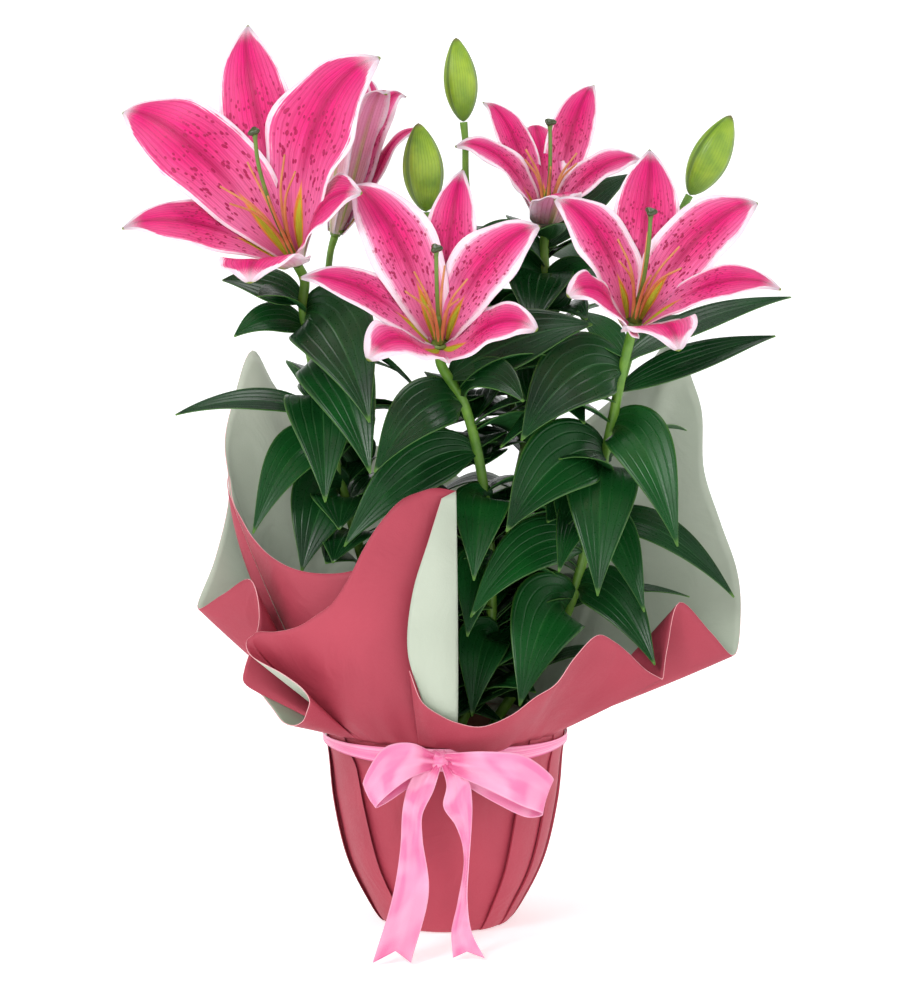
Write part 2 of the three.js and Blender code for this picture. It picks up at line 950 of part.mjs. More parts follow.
// Leaves: the height where one leaves its stem, its tip, half width, arch and how far its face
// is turned to the front (1) or the back (-1).
const leaves = {
  left: [
    [408, [-141, -34, 422], 13, 0.1, 0.5],
    [402, [-116, -66, 414], 12, 0.14, 0.4],
    [392, [-132, -58, 388], 13, 0.18, 0.5],
    [400, [-46, -110, 339], 26, 0.24, 0.75],
    [375, [-46, -96, 306], 23, 0.24, 0.75],
    [345, [-74, -95, 288], 23, 0.3, 0.8],
    [334, [-171, -40, 337], 12, 0.12, 0.35],
    [311, [-121, -62, 264], 16, 0.34, 0.6],
    [284, [-91, -60, 238], 22, 0.34, 0.8],
  ],
  centre: [
    [313, [-63, -78, 258], 18, 0.2, 0.7],
    [346, [-43, -114, 309], 18, 0.2, 0.7],
    [352, [48, -112, 352], 14, 0.22, 0.6],
    [362, [92, -66, 396], 21, 0.1, 0.55],
    [281, [18, -88, 238], 17, 0.3, 0.75],
    [236, [14, -84, 202], 16, 0.3, 0.75],
    [189, [17, -72, 149], 16, 0.34, 0.8],
  ],
  right: [
    [366, [47, -118, 327], 24, 0.22, 0.7],
    [310, [38, -98, 270], 24, 0.2, 0.75],
    [303, [95, -108, 229], 23, 0.26, 0.9],
    [327, [145, -85, 259], 19, 0.3, 0.7],
    [263, [186, -28, 218], 12, 0.22, 0.5],
    [269, [126, -62, 214], 13, 0.24, 0.7],
    [222, [133, -62, 180], 16, 0.24, 0.7],
    [207, [160, 6, 213], 8, 0.12, 0.2],
    [207, [47, -72, 157], 24, 0.3, 0.8],
    [246, [16, -66, 214], 17, 0.24, 0.7],
    [265, [71, -85, 243], 12, 0.24, 0.7],
    [352, [214, 6, 384], 11, 0.04, 0.5],
    [372, [226, 26, 408], 11, 0.06, 0.4],
    [370, [162, 24, 396], 12, 0.08, 0.2],
    [374, [84, -26, 402], 12, 0.08, 0.3],
  ],
  back: [
    [440, [122, 34, 488], 15, 0.08, 0.4],
    [425, [20, -8, 452], 15, 0.14, 0.6],
    [400, [96, -12, 430], 15, 0.14, 0.6],
    [380, [34, -14, 400], 17, 0.16, 0.6],
    [350, [66, -26, 352], 18, 0.2, 0.7],
  ],
};

// Further leaves climb the stem by the golden angle, one at each step, and arch outwards.
const spiral = {
  left: { from: 160, to: 372, count: 6, start: 150, reach: 74 },
  centre: { from: 150, to: 330, count: 4, start: 40, reach: 70 },
  right: { from: 160, to: 350, count: 5, start: 80, reach: 76 },
  back: { from: 150, to: 420, count: 8, start: 10, reach: 78 },
};

// The middle line of a stem, from the top of its bulb to the foot of its flower
function stemLine({ foot: [x, y], path, top }) {
  const { base, axis } = bloomFrame(blooms[top]);
  const bulbTop = BULB_LEVEL + BULB_HEIGHT / 2 + SEAT_GAP;
  const neck = base.clone().addScaledVector(axis, -12).toArray();
  const end = base.clone().addScaledVector(axis, -SEAT_GAP).toArray();
  return [[x, y, bulbTop], [x, y, 84], [x, y, SOIL_TOP + 10], ...path, neck, end];
}

// The middle line of a pedicel, up to a hair below the flower or the bud that it bears
function pedicelLine({ pedicel, bears }) {
  let [foot, along] = [];
  if (buds[bears]) {
    foot = vec(buds[bears].foot);
    along = vec(buds[bears].tip).sub(foot).normalize();
  } else {
    const frame = bloomFrame(blooms[bears]);
    [foot, along] = [frame.base, frame.axis];
  }
  const neck = foot.clone().addScaledVector(along, -12).toArray();
  const end = foot.clone().addScaledVector(along, -SEAT_GAP).toArray();
  return [...pedicel, neck, end];
}

// The point of a stem's middle line at a height
function stemAt(line, height) {
  const curve = new THREE.CatmullRomCurve3(line.map(vec));
  let [low, high] = [0, 1];
  for (let i = 0; i < 30; i++) {
    const middle = (low + high) / 2;
    if (curve.getPoint(middle).z < height) low = middle;
    else high = middle;
  }
  return curve.getPoint(low);
}

function leafShape(root, tip, half, arch, face) {
  const chord = tip.clone().sub(root);
  const rise = arch * chord.length();
  const raised = (share, amount) =>
    root.clone().addScaledVector(chord, share).add(new THREE.Vector3(0, 0, amount));
  const midrib = [root, raised(0.3, rise * 1.15), raised(0.68, rise * 1.05), tip];
  const facing = new THREE.Vector3(0, -face, 1 - Math.abs(face)).normalize();
  const outline = (t) => Math.sin(Math.PI * t ** 0.78) ** 1.1;
  const width = (t) => 0.5 + half * outline(t) + 0.9 * (1 - t) ** 2;
  const lift = (s, t) => 0.16 * Math.abs(s) * width(t);
  return { midrib, facing, width, lift };
}

// Shifts tried in turn until a leaf is clear of everything else: of its tip to the back, and of
// its turn round the stem
const tipShifts = [0, 8, -8, 16, -16, 24, -24, 34, -34];
const turnShifts = [0, 14, -14, 28, -28, 42, -42, 60, -60];

function handLeaf(line, [height, tip, half, arch, face], shift) {
  const end = vec(tip).add(new THREE.Vector3(0, shift, 0));
  return leafShape(stemAt(line, height), end, half, arch, face);
}

function spiralLeaf(line, rule, index, shift) {
  const root = stemAt(line, mix(rule.from, rule.to, index / (rule.count - 1)));
  const turn = radians(rule.start + GOLDEN_ANGLE * index + shift);
  const out = rule.reach * (0.9 + 0.16 * Math.sin(index * 2.4));
  const reach = new THREE.Vector3(out * Math.sin(turn), -out * Math.cos(turn), out * 0.22);
  const half = 14 + 3 * Math.sin(index * 1.7);
  return leafShape(root, root.clone().add(reach), half, 0.16, 0.35 * Math.cos(turn));
}

// A leaf is tested as a thicker blade without its root: past ROOT_SHARE of its length against
// everything else, and past FREE_FROM against its own stem's leaves.
const TEST_THICKNESS = 3.2;
const ROOT_SHARE = 0.07;
const FREE_FROM = 0.3;

function placeLeaf(candidates, obstacles, siblings) {
  const meets = (test, others) => others.some((other) => test.intersect(other).volume() > 0);
  for (const shape of candidates) {
    const whole = blade(shape, TEST_THICKNESS, 2, 4, ROOT_SHARE);
    const free = blade(shape, TEST_THICKNESS, 2, 4, FREE_FROM);
    if (meets(whole, obstacles) || meets(free, siblings)) continue;
    return { made: blade(shape, LEAF_THICKNESS, 2, 4), whole, free };
  }
  return null;
}

// Every leaf wanted on a stem, as the list of shapes to try for it
function leafWishes(name, line) {
  const rule = spiral[name];
  const wishes = leaves[name].map((leaf) => tipShifts.map((shift) => handLeaf(line, leaf, shift)));
  for (let i = 0; i < rule.count; i++)
    wishes.push(turnShifts.map((shift) => spiralLeaf(line, rule, i, shift)));
  return wishes;
}

// Leafy stems, one after the other. A leaf must clear the obstacles, the other stems and every
// leaf placed before it, and a leaf with no free place is left out.
function leafyStems(obstacles) {
  const bare = {};
  for (const [name, stem] of Object.entries(stems)) {
    const line = stemLine(stem);
    const bars = [
      tube(line, STEM_RADIUS, 6, STEM_STEPS),
      tube(pedicelLine(stem), PEDICEL_RADIUS, 6, 6),
    ];
    bare[name] = { line, bars };
  }
  const placed = [];
  const made = {};
  for (const [name, { line, bars }] of Object.entries(bare)) {
    const others = Object.keys(bare).filter((other) => other !== name);
    const inTheWay = [...obstacles, ...others.flatMap((other) => bare[other].bars), ...placed];
    const siblings = [];
    const blades = [];
    for (const candidates of leafWishes(name, line)) {
      const found = placeLeaf(candidates, inTheWay, siblings);
      if (!found) continue;
      blades.push(found.made);
      siblings.push(found.free);
      placed.push(found.whole);
    }
    made[name] = join([...bars, ...blades]);
  }
  return made;
}

// The soil with a hole for each stem and a pocket for each bulb
function pottedSoil() {
  const cutters = Object.values(stems).flatMap((stem) => [
    tube(stemLine(stem), STEM_RADIUS + CLEARANCE, 6, STEM_STEPS),
    bulb(stem.foot, CLEARANCE),
  ]);
  return cutters.reduce((rest, cutter) => rest.subtract(cutter), soilBlock());
}

const root = new THREE.Group();
root.name = "potted_lily";

function addNode(name, manifold, material) {
  const mesh = new THREE.Mesh(geometryOf(manifold), material);
  mesh.name = name;
  root.add(mesh);
}

const wrap = paperWrap();
addNode("paper_wrap", wrap, materials.wrap);
addNode("ribbon", ribbon(), materials.ribbon);
addNode("pot", pot(), materials.pot);
addNode("soil", pottedSoil(), materials.soil);
for (const [name, stem] of Object.entries(stems))
  addNode("bulb_" + name, bulb(stem.foot), materials.bulb);

const obstacles = [wrap];
for (const [name, spec] of Object.entries(blooms)) {
  const tepals = bloomTepals(spec);
  obstacles.push(tepals);
  addNode("flower_" + name + "_tepals", tepals, materials.tepal);
  if (!spec.style) continue;
  const stamens = bloomStamens(spec);
  obstacles.push(stamens);
  addNode("flower_" + name + "_stamens", stamens, materials.stamen);
}
for (const [name, spec] of Object.entries(buds)) {
  const made = bud(spec);
  obstacles.push(made);
  addNode(name, made, materials.bud);
}
for (const [name, made] of Object.entries(leafyStems(obstacles)))
  addNode("leafy_stem_" + name, made, materials.leaf);

export default root;
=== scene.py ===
import math
import random

import bmesh
import bpy
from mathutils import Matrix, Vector, kdtree, noise


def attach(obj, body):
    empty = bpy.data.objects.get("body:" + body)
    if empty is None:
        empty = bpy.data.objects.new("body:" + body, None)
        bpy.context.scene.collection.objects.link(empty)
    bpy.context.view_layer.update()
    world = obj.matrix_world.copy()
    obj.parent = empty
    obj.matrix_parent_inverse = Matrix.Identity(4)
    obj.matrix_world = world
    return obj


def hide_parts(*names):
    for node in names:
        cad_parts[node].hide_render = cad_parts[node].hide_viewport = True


# A potted lily in a folded rose and sage paper wrap, tied with a satin bow.
# Sizes are millimetres until a point goes into a mesh, and the meshes are in metres.

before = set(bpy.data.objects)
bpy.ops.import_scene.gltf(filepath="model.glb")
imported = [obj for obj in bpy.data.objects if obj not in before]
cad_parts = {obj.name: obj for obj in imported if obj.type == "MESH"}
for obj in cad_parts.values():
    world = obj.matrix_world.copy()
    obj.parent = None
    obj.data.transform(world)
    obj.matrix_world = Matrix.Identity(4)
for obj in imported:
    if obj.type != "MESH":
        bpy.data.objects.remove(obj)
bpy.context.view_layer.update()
mm = 0.001
print("frame loaded,", len(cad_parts), "nodes")


# Small sums

def mix(low, high, share):
    return low + (high - low) * share


def ease(low, high, value):
    share = min(max((value - low) / (high - low), 0), 1)
    return share * share * (3 - 2 * share)


def bell(value, middle, spread):
    return math.exp(-(((value - middle) / spread) ** 2))


# The smooth line through given points that the solids follow too, read from 0 to 1
def smoothLine(points):
    spots = [Vector(point) for point in points]
    spots = [spots[0] * 2 - spots[1]] + spots + [spots[-1] * 2 - spots[-2]]
    spans = len(spots) - 3

    def at(share):
        place = min(max(share, 0), 1) * spans
        step = min(int(place), spans - 1)
        rest = place - step
        a, b, c, d = spots[step:step + 4]
        ab, bc, cd = ((q - p).length ** 0.5 for p, q in ((a, b), (b, c), (c, d)))
        leave = ((b - a) / ab - (c - a) / (ab + bc) + (c - b) / bc) * bc
        arrive = ((c - b) / bc - (d - b) / (bc + cd) + (d - c) / cd) * bc
        square = (c - b) * 3 - leave * 2 - arrive
        cube = (b - c) * 2 + leave + arrive
        return b + leave * rest + square * rest**2 + cube * rest**3

    return at


def bend(points, t):
    a, b, c, d = points
    s = 1 - t
    return a * s**3 + b * (3 * s * s * t) + c * (3 * s * t * t) + d * t**3


def bendHeading(points, t):
    a, b, c, d = points
    s = 1 - t
    return ((b - a) * (s * s) + (c - b) * (2 * s * t) + (d - c) * (t * t)).normalized()


# Mesh helpers

def newMesh():
    bm = bmesh.new()
    bm.loops.layers.uv.new("UVMap")
    bm.verts.layers.float.new("tint")
    return bm


# A flat grid whose corners go from (0, 0) to (1, 1), with every vertex moved to place(u, v)
def addSheet(bm, across, along, place, tint=0.0, material=0):
    made = bmesh.ops.create_grid(
        bm, x_segments=across, y_segments=along, size=0.5, calc_uvs=True
    )
    own = bm.verts.layers.float["tint"]
    for vert in made["verts"]:
        vert[own] = tint
        vert.co = place(vert.co.x + 0.5, vert.co.y + 0.5) * mm
    faces = {face for vert in made["verts"] for face in vert.link_faces}
    for face in faces:
        face.material_index = material
        face.smooth = True
    return made["verts"]


# A round bar on a line: u runs round it and v along it, and radius(u, v) gives its thickness
def addBar(bm, line, radius, sides, steps, tint=0.0, material=0):
    spots = [line(j / steps) for j in range(steps + 1)]
    headings = []
    for j in range(steps + 1):
        headings.append((spots[min(j + 1, steps)] - spots[max(j - 1, 0)]).normalized())
    side = headings[0].orthogonal().normalized()
    sideways = []
    for heading in headings:
        side = (side - heading * side.dot(heading)).normalized()
        sideways.append(side)

    def place(u, v):
        j = round(v * steps)
        turn = 2 * math.pi * u
        other = headings[j].cross(sideways[j])
        out = sideways[j] * math.cos(turn) + other * math.sin(turn)
        return spots[j] + out * radius(u, v)

    verts = addSheet(bm, sides, steps, place, tint, material)
    bmesh.ops.remove_doubles(bm, verts=verts, dist=0.01 * mm)
    verts = [vert for vert in verts if vert.is_valid]
    rims = {edge for vert in verts for edge in vert.link_edges if edge.is_boundary}
    caps = bmesh.ops.holes_fill(bm, edges=list(rims), sides=0)["faces"]
    for face in caps:
        face.material_index = material


# The finished piece, riding on the body and standing for its solids
def makePiece(name, bm, materials, nodes):
    mesh = bpy.data.meshes.new(name)
    bm.to_mesh(mesh)
    bm.free()
    piece = bpy.data.objects.new(name, mesh)
    bpy.context.scene.collection.objects.link(piece)
    for material in materials:
        mesh.materials.append(material)
    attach(piece, "root")
    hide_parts(*nodes)
    return piece


def addWall(piece, thickness, backMaterial, rimMaterial):
    wall = piece.modifiers.new("wall", "SOLIDIFY")
    wall.thickness = thickness * mm
    wall.offset = 0
    wall.material_offset = backMaterial
    wall.material_offset_rim = rimMaterial


# Shader helpers. A colour is given as 0 to 255 red, green, blue. A new node joins the tree of the
# socket that feeds it.

def paint(red, green, blue):
    levels = []
    for level in (red, green, blue):
        part = level / 255
        levels.append(part / 12.92 if part < 0.0405 else ((part + 0.055) / 1.055) ** 2.4)
    return (*levels, 1)


def isSocket(value):
    return isinstance(value, bpy.types.NodeSocket)


def feed(socket, value):
    if isSocket(value):
        socket.id_data.links.new(value, socket)
    elif socket.type == "RGBA" and len(value) == 3:
        socket.default_value = paint(*value)
    else:
        socket.default_value = value


def addNode(kind, feeds, tree=None, **settings):
    tree = tree or next(value.id_data for value in feeds.values() if isSocket(value))
    made = tree.nodes.new(kind)
    for key, value in settings.items():
        setattr(made, key, value)
    for key, value in feeds.items():
        feed(made.inputs[key], value)
    return made


def maths(operation, *values):
    return addNode("ShaderNodeMath", dict(enumerate(values)), operation=operation).outputs[0]


def times(first, second):
    return maths("MULTIPLY", first, second)


def plus(first, second):
    return maths("ADD", first, second)


# How far a share lies from the middle, 0.5
def offMiddle(share):
    return maths("ABSOLUTE", maths("SUBTRACT", share, 0.5))


def between(value, low, high, start=0.0, end=1.0):
    feeds = {"Value": value, "From Min": low, "From Max": high, "To Min": start, "To Max": end}
    return addNode("ShaderNodeMapRange", feeds, interpolation_type="SMOOTHSTEP").outputs["Result"]


def blendColour(share, first, second, strength=None):
    if strength is not None:
        share = times(share, strength)
    return addNode("ShaderNodeMix", {0: share, 6: first, 7: second}, data_type="RGBA").outputs[2]


def grain(vector, scale, detail=2.0):
    feeds = {"Scale": scale, "Detail": detail, "Roughness": 0.5, "Vector": vector}
    return addNode("ShaderNodeTexNoise", feeds).outputs["Fac"]


def stretched(vector, scale):
    return addNode("ShaderNodeMapping", {"Vector": vector, "Scale": scale}).outputs[0]


# constants are values for the shader's own sockets
def newMaterial(name, roughness, constants=None):
    material = bpy.data.materials.new(name)
    material.use_nodes = True
    shader = material.node_tree.nodes["Principled BSDF"]
    feed(shader.inputs["Roughness"], roughness)
    for key, value in (constants or {}).items():
        feed(shader.inputs[key], value)
    return material, shader


def places(shader):
    made = addNode("ShaderNodeTexCoord", {}, shader.id_data)
    return made.outputs["Object"], made.outputs["UV"]


def tintOf(shader):
    return addNode("ShaderNodeAttribute", {}, shader.id_data, attribute_name="tint").outputs["Fac"]


# Across and along a sheet, each from 0 to 1
def axesOf(uv):
    return addNode("ShaderNodeSeparateXYZ", {0: uv}).outputs[:2]


def reliefFrom(shader, height, distance):
    feeds = {"Height": height, "Distance": distance * mm, "Strength": 1.0}
    feed(shader.inputs["Normal"], addNode("ShaderNodeBump", feeds).outputs["Normal"])


# A node group with one number as its result. sockets has each input's name and first value.
def newGroup(name, sockets, result):
    group = bpy.data.node_groups.new(name, "ShaderNodeTree")
    for label, value in sockets.items():
        kind = "NodeSocketVector" if value is None else "NodeSocketFloat"
        made = group.interface.new_socket(label, in_out="INPUT", socket_type=kind)
        if value is not None:
            made.default_value = value
    group.interface.new_socket(result, in_out="OUTPUT", socket_type="NodeSocketFloat")
    return group, group.nodes.new("NodeGroupInput").outputs, group.nodes.new("NodeGroupOutput").inputs


# The result of a group placed with these values, in the order of its inputs
def placeGroup(group, *values):
    made = addNode("ShaderNodeGroup", {}, values[0].id_data, node_tree=group)
    for socket, value in zip(made.inputs, values):
        feed(socket, value)
    return made.outputs[0]


# Veins that run from end to end of a blade, closer together where the blade narrows
def makeVeinGroup():
    sockets = {"UV": None, "Count": 7.0, "Width": 0.2, "Wander": 0.1}
    group, given, result = newGroup("lengthwiseVeins", sockets, "Veins")
    across, _ = axesOf(given["UV"])
    wobble = grain(stretched(given["UV"], (2, 1.5, 1)), 3.0, 1.0)
    drift = times(maths("SUBTRACT", wobble, 0.5), given["Wander"])
    lane = times(plus(across, drift), given["Count"])
    off = offMiddle(maths("FRACT", lane))
    feed(result["Veins"], between(off, 0.0, given["Width"], 1.0, 0.0))
    return group


# How near a point is to a blade's long edges, with a ragged line
def makeMarginGroup():
    sockets = {"UV": None, "Start": 0.8, "Ragged": 0.1, "At Tip": 0.2}
    group, given, result = newGroup("edgeMargin", sockets, "Margin")
    across, along = axesOf(given["UV"])
    ragged = grain(stretched(given["UV"], (1, 2.4, 1)), 7.0, 3.0)
    ragged = times(maths("SUBTRACT", ragged, 0.5), given["Ragged"])
    tip = times(between(along, 0.72, 1.0), given["At Tip"])
    reach = plus(plus(times(offMiddle(across), 2.0), ragged), tip)
    feed(result["Margin"], between(reach, given["Start"], 1.0))
    return group


# Broad soft patches of darker and lighter colour
def makeMottleGroup():
    sockets = {"Place": None, "Scale": 40.0, "Contrast": 0.5}
    group, given, result = newGroup("softMottle", sockets, "Mottle")
    off = times(maths("SUBTRACT", grain(given["Place"], given["Scale"], 3.0), 0.5), given["Contrast"])
    total = plus(times(off, 2.0), 0.5)
    total.node.use_clamp = True
    feed(result["Mottle"], total)
    return group


veinGroup = makeVeinGroup()
marginGroup = makeMarginGroup()
mottleGroup = makeMottleGroup()


# Wrap: one folded sheet of paper, rose outside and sage inside

paperValues = {
    "rose": (192, 74, 92),
    "roseDeep": (150, 52, 68),
    "sage": (196, 204, 188),
    "sageDeep": (166, 176, 158),
    # the cut edge's pale colours: the paper's pale edge, made paler still as a painted highlight along
    # it
    "cut": ((228, 150, 158), (240, 190, 192)),
    "thickness": 0.5,
    "crinkle": 0.35,
}


def paperMaterial(name, light, deep):
    material, shader = newMaterial(name, 0.62, {"Specular IOR Level": 0.35})
    objectPlace, _ = places(shader)
    mottle = placeGroup(mottleGroup, objectPlace, 9.0, 0.7)
    fibre = grain(objectPlace, 900.0, 2.0)
    feeds = {"Vector": objectPlace, "Scale": 22.0, "Detail": 3.0, "Distortion": 1.2}
    creases = addNode("ShaderNodeTexNoise", feeds).outputs["Fac"]
    colour = blendColour(mottle, deep, light)
    feed(shader.inputs["Base Color"], blendColour(0.82, deep, colour))
    feed(shader.inputs["Roughness"], between(fibre, 0.2, 0.8, 0.5, 0.66))
    height = plus(times(creases, 6.0), times(fibre, 0.25))
    reliefFrom(shader, height, paperValues["crinkle"])
    return material


# The paper's rim: its pale cut edge with a painted highlight along it
def cutEdgeAndHighlightMaterial():
    material, shader = newMaterial("paperCutEdgeAndHighlight", 0.7)
    objectPlace, _ = places(shader)
    fibre = grain(objectPlace, 700.0, 2.0)
    feed(shader.inputs["Base Color"], blendColour(fibre, *paperValues["cut"]))
    return material


cup = {
    "rows": [
        # radius, height, share of the pleats' depth
        (40, 0.4, 0.3),
        (43.5, 1.6, 0.4),
        (54, 18, 0.9),
        (66, 44, 1.0),
        (74.5, 83, 1.0),
        (77, 112, 0.7),
        (78, 121, 0.45),
        (78.2, 131, 0.4),
    ],
    # each pleat's edge at half height, in degrees from the front towards the right, its depth,
    # how far it slants from the bottom to the top, and the side its upper layer comes from
    "pleats": [
        (-141, 3.0, 4, 1), (-110, 3.2, -6, 1), (-78, 3.4, -8, 1), (-44, 3.6, -30, 1), (40, 3.4, 14, -1),
        (62, 3.2, 9, -1), (86, 3.0, 5, -1), (120, 3.0, 6, -1), (155, 3.2, -4, -1), (190, 3.0, 6, 1),
    ],
    "panel": 1.5,
    "lap": 2.6,
    "sharp": 50,
    "sag": 0.9,
    "rowsUp": 44,
}


# Turn, lap, depth and slant of each column, going round the cup. At a pleat the paper folds back
# under itself and goes on one layer deeper.
def cupColumns():
    columns = []
    pleats = cup["pleats"]
    for i, (edge, depth, slant, side) in enumerate(pleats):
        following, nextDepth, nextSlant, nextSide = pleats[(i + 1) % len(pleats)]
        following += 360 if i == len(pleats) - 1 else 0
        start = depth if side > 0 else 0
        end = 0 if nextSide > 0 else nextDepth
        panels = round((following - edge) / cup["panel"])
        for k in range(1, panels):
            along = k / panels
            lap = cup["lap"] * (2 * along - 1) * abs(2 * along - 1)
            sunk = start * (1 - along) ** 0.7 + end * along**2
            columns.append((mix(edge, following, along), lap, sunk, mix(slant, nextSlant, along)))
        for share, lap in ((0, 1), (0.3, 0), (0.65, -1), (1, -1.02)):
            sunk = nextDepth * (share if nextSide > 0 else 1 - share)
            columns.append((following, cup["lap"] * lap, sunk, nextSlant))
    turn, lap, depth, slant = columns[0]
    return columns + [(turn + 360, lap, depth, slant)]


def cupPlace(columns):
    # the profile is a smooth line with the pleats' share as its third number
    profile = smoothLine(cup["rows"])

    def place(u, v):
        radius, height, share = profile(v)
        turn, lap, depth, slant = columns[round(u * (len(columns) - 1))]
        radius -= depth * share
        angle = math.radians(turn + slant * (v - 0.5) + lap * ease(0, 0.15, v))
        sag = noise.noise(Vector((math.cos(angle) * 2.4, math.sin(angle) * 2.4, v * 3)))
        radius += cup["sag"] * sag * ease(0, 0.3, v) * ease(1, 0.8, v)
        return Vector((radius * math.sin(angle), -radius * math.cos(angle), height))

    return place


# Each sheet of the collar leaves the waist and ends in its rim. feet, where given, are the
# turns at the waist of the rim's two ends, and belly pushes the sheet's middle outwards.
collar = {
    "back": {
        "columns": 190, "rows": 26, "belly": 4, "waist": 76, "feet": None,
        "rim": [
            (138, -64, 172), (142, -44, 188), (151, -28, 215), (172, -22, 194), (188, -10, 177),
            (195, 18, 202), (194, 36, 226), (184, 55, 257), (174, 68, 290), (173, 80, 329),
            (165, 88, 355), (157, 92, 380), (133, 105, 351), (79, 114, 305), (27, 116, 271),
            (-4, 116, 288), (-64, 108, 308), (-112, 95, 339), (-130, 85, 369), (-142, 70, 337),
            (-147, 55, 311), (-143, 35, 277), (-151, 12, 237), (-161, -8, 208), (-143, -28, 220),
            (-124, -44, 232), (-118, -54, 208), (-127, -62, 178), (-128, -60, 169), (-117, -52, 159),
        ],
    },
    "frontLeft": {
        "columns": 60, "rows": 24, "belly": 8, "waist": 76.8, "feet": (-66, -30),
        "rim": [
            (-141, 14, 292), (-138, 2, 277), (-131, -12, 266), (-124, -24, 257),
            (-110, -42, 246), (-92, -58, 240), (-67, -70, 240), (-44, -74, 246),
        ],
    },
    "flap": {
        "columns": 76, "rows": 30, "belly": 12, "waist": 77.6, "feet": (-40, 5),
        "rim": [
            (-124, -68, 197), (-118, -73, 203), (-107, -78, 204), (-92, -88, 209), (-80, -93, 217),
            (-70, -96, 225), (-59, -97, 242), (-51, -96, 258), (-41, -94, 274), (-27, -91, 289),
            (-15, -89, 294), (-6, -87, 296), (7, -85, 294),
        ],
    },
    "roll": {
        "columns": 76, "rows": 20, "belly": 0, "waist": 77.6, "feet": (-40, -60), "faces": 3,
        "rim": [
            (-118, -72, 203), (-125, -70, 197), (-123, -77, 190), (-100, -97, 180), (-88, -103, 172),
            (-84, -103, 165), (-86, -100, 157), (-89, -94, 150), (-95, -87, 146), (-102, -80, 147),
            (-109, -72, 154), (-116, -64, 161),
        ],
    },
    "frontRight": {
        "columns": 90, "rows": 18, "belly": 3, "waist": 78.2, "feet": None,
        "rim": [
            (-22, -104, 184), (-14, -103, 164), (-2, -102, 155), (7, -102, 151), (22, -101, 148),
            (41, -100, 155), (56, -98, 166), (69, -96, 174), (81, -92, 190), (96, -84, 203),
            (106, -78, 198), (115, -72, 190), (127, -68, 178), (138, -64, 171),
        ],
    },
    "footHeight": 130,
    # parts of the back sheet's rim, by share, that are rose on both sides
    "roseBoth": [(0.0, 0.07), (0.865, 1.0)],
    "gussetFaces": 6,
    # the front sheet hangs over the band here: turn, spread, drop and how far it stands off
    "droop": (17, 13, 4.5, 3.4),
    "folds": (13, 1.5),
    "gathers": 34,
    "gatherDepth": 0.7,
}


def collarPlace(values, seed):
    rim = smoothLine(values["rim"])
    feet = values["feet"]

    def place(u, v):
        edge = rim(u)
        turn = math.radians(mix(*feet, u)) if feet else math.atan2(edge.x, -edge.y)
        outward = Vector((math.sin(turn), -math.cos(turn), 0))
        middleTurn, reach, drop, stand = collar["droop"]
        hang = bell(math.degrees(turn), middleTurn, reach)
        foot = outward * (values["waist"] + stand * hang)
        foot.z = collar["footHeight"] - drop * hang
        middle = foot.lerp(edge, 0.5) + outward * values["belly"]
        s = 1 - v
        spot = foot * (s * s) + middle * (2 * s * v) + edge * (v * v)
        gather = math.sin(turn * collar["gathers"] + seed) * collar["gatherDepth"] * s * s * s
        count, depth = collar["folds"]
        gather += math.sin(turn * count + seed * 2) * depth * s * v * 2
        ripple = noise.noise(Vector((u * 5 + seed, v * 1.6, seed))) * v * (1.3 - v)
        return spot + outward * (gather + ripple)

    return place


# The front left sheet's side is turned over in a narrow cuff that stands out from it: its share
# of the sheet, its reach past the sheet's side, and how far its edges and middle stand out
cuff = {"share": 0.12, "reach": 11, "stand": (0.8, 1.2), "columns": 10}


def cuffPlace(sheet):
    def place(u, v):
        spot = sheet(cuff["share"] * u, v)
        outward = Vector((spot.x, spot.y, 0)).normalized()
        reach = cuff["reach"] * (1 - u) * math.sin(math.pi * v**1.2) ** 0.8
        edge, swell = cuff["stand"]
        stand = edge + swell * math.sin(math.pi * u)
        return spot + Vector((-reach, reach * 0.3, reach * 0.2)) + outward * stand

    return place


# The flap's free side is folded outwards along an upright crease
lapel = {
    "crease": [(7, -79, 131), (8, -94, 150), (8, -94, 210), (7, -85, 294)],
    "edge": [
        (-8, -81, 133), (-14, -97, 163), (-23, -100, 195),
        (-20, -101, 232), (-10, -98, 265), (-2, -91, 290),
    ],
    "bow": 3,
    "grid": (14, 40),
}


def lapelPlace():
    crease = smoothLine(lapel["crease"])
    edge = smoothLine(lapel["edge"])

    def place(u, v):
        bow = lapel["bow"] * math.sin(math.pi * u) * math.sin(math.pi * v)
        return crease(v).lerp(edge(v), u) - Vector((0, bow, 0))

    return place


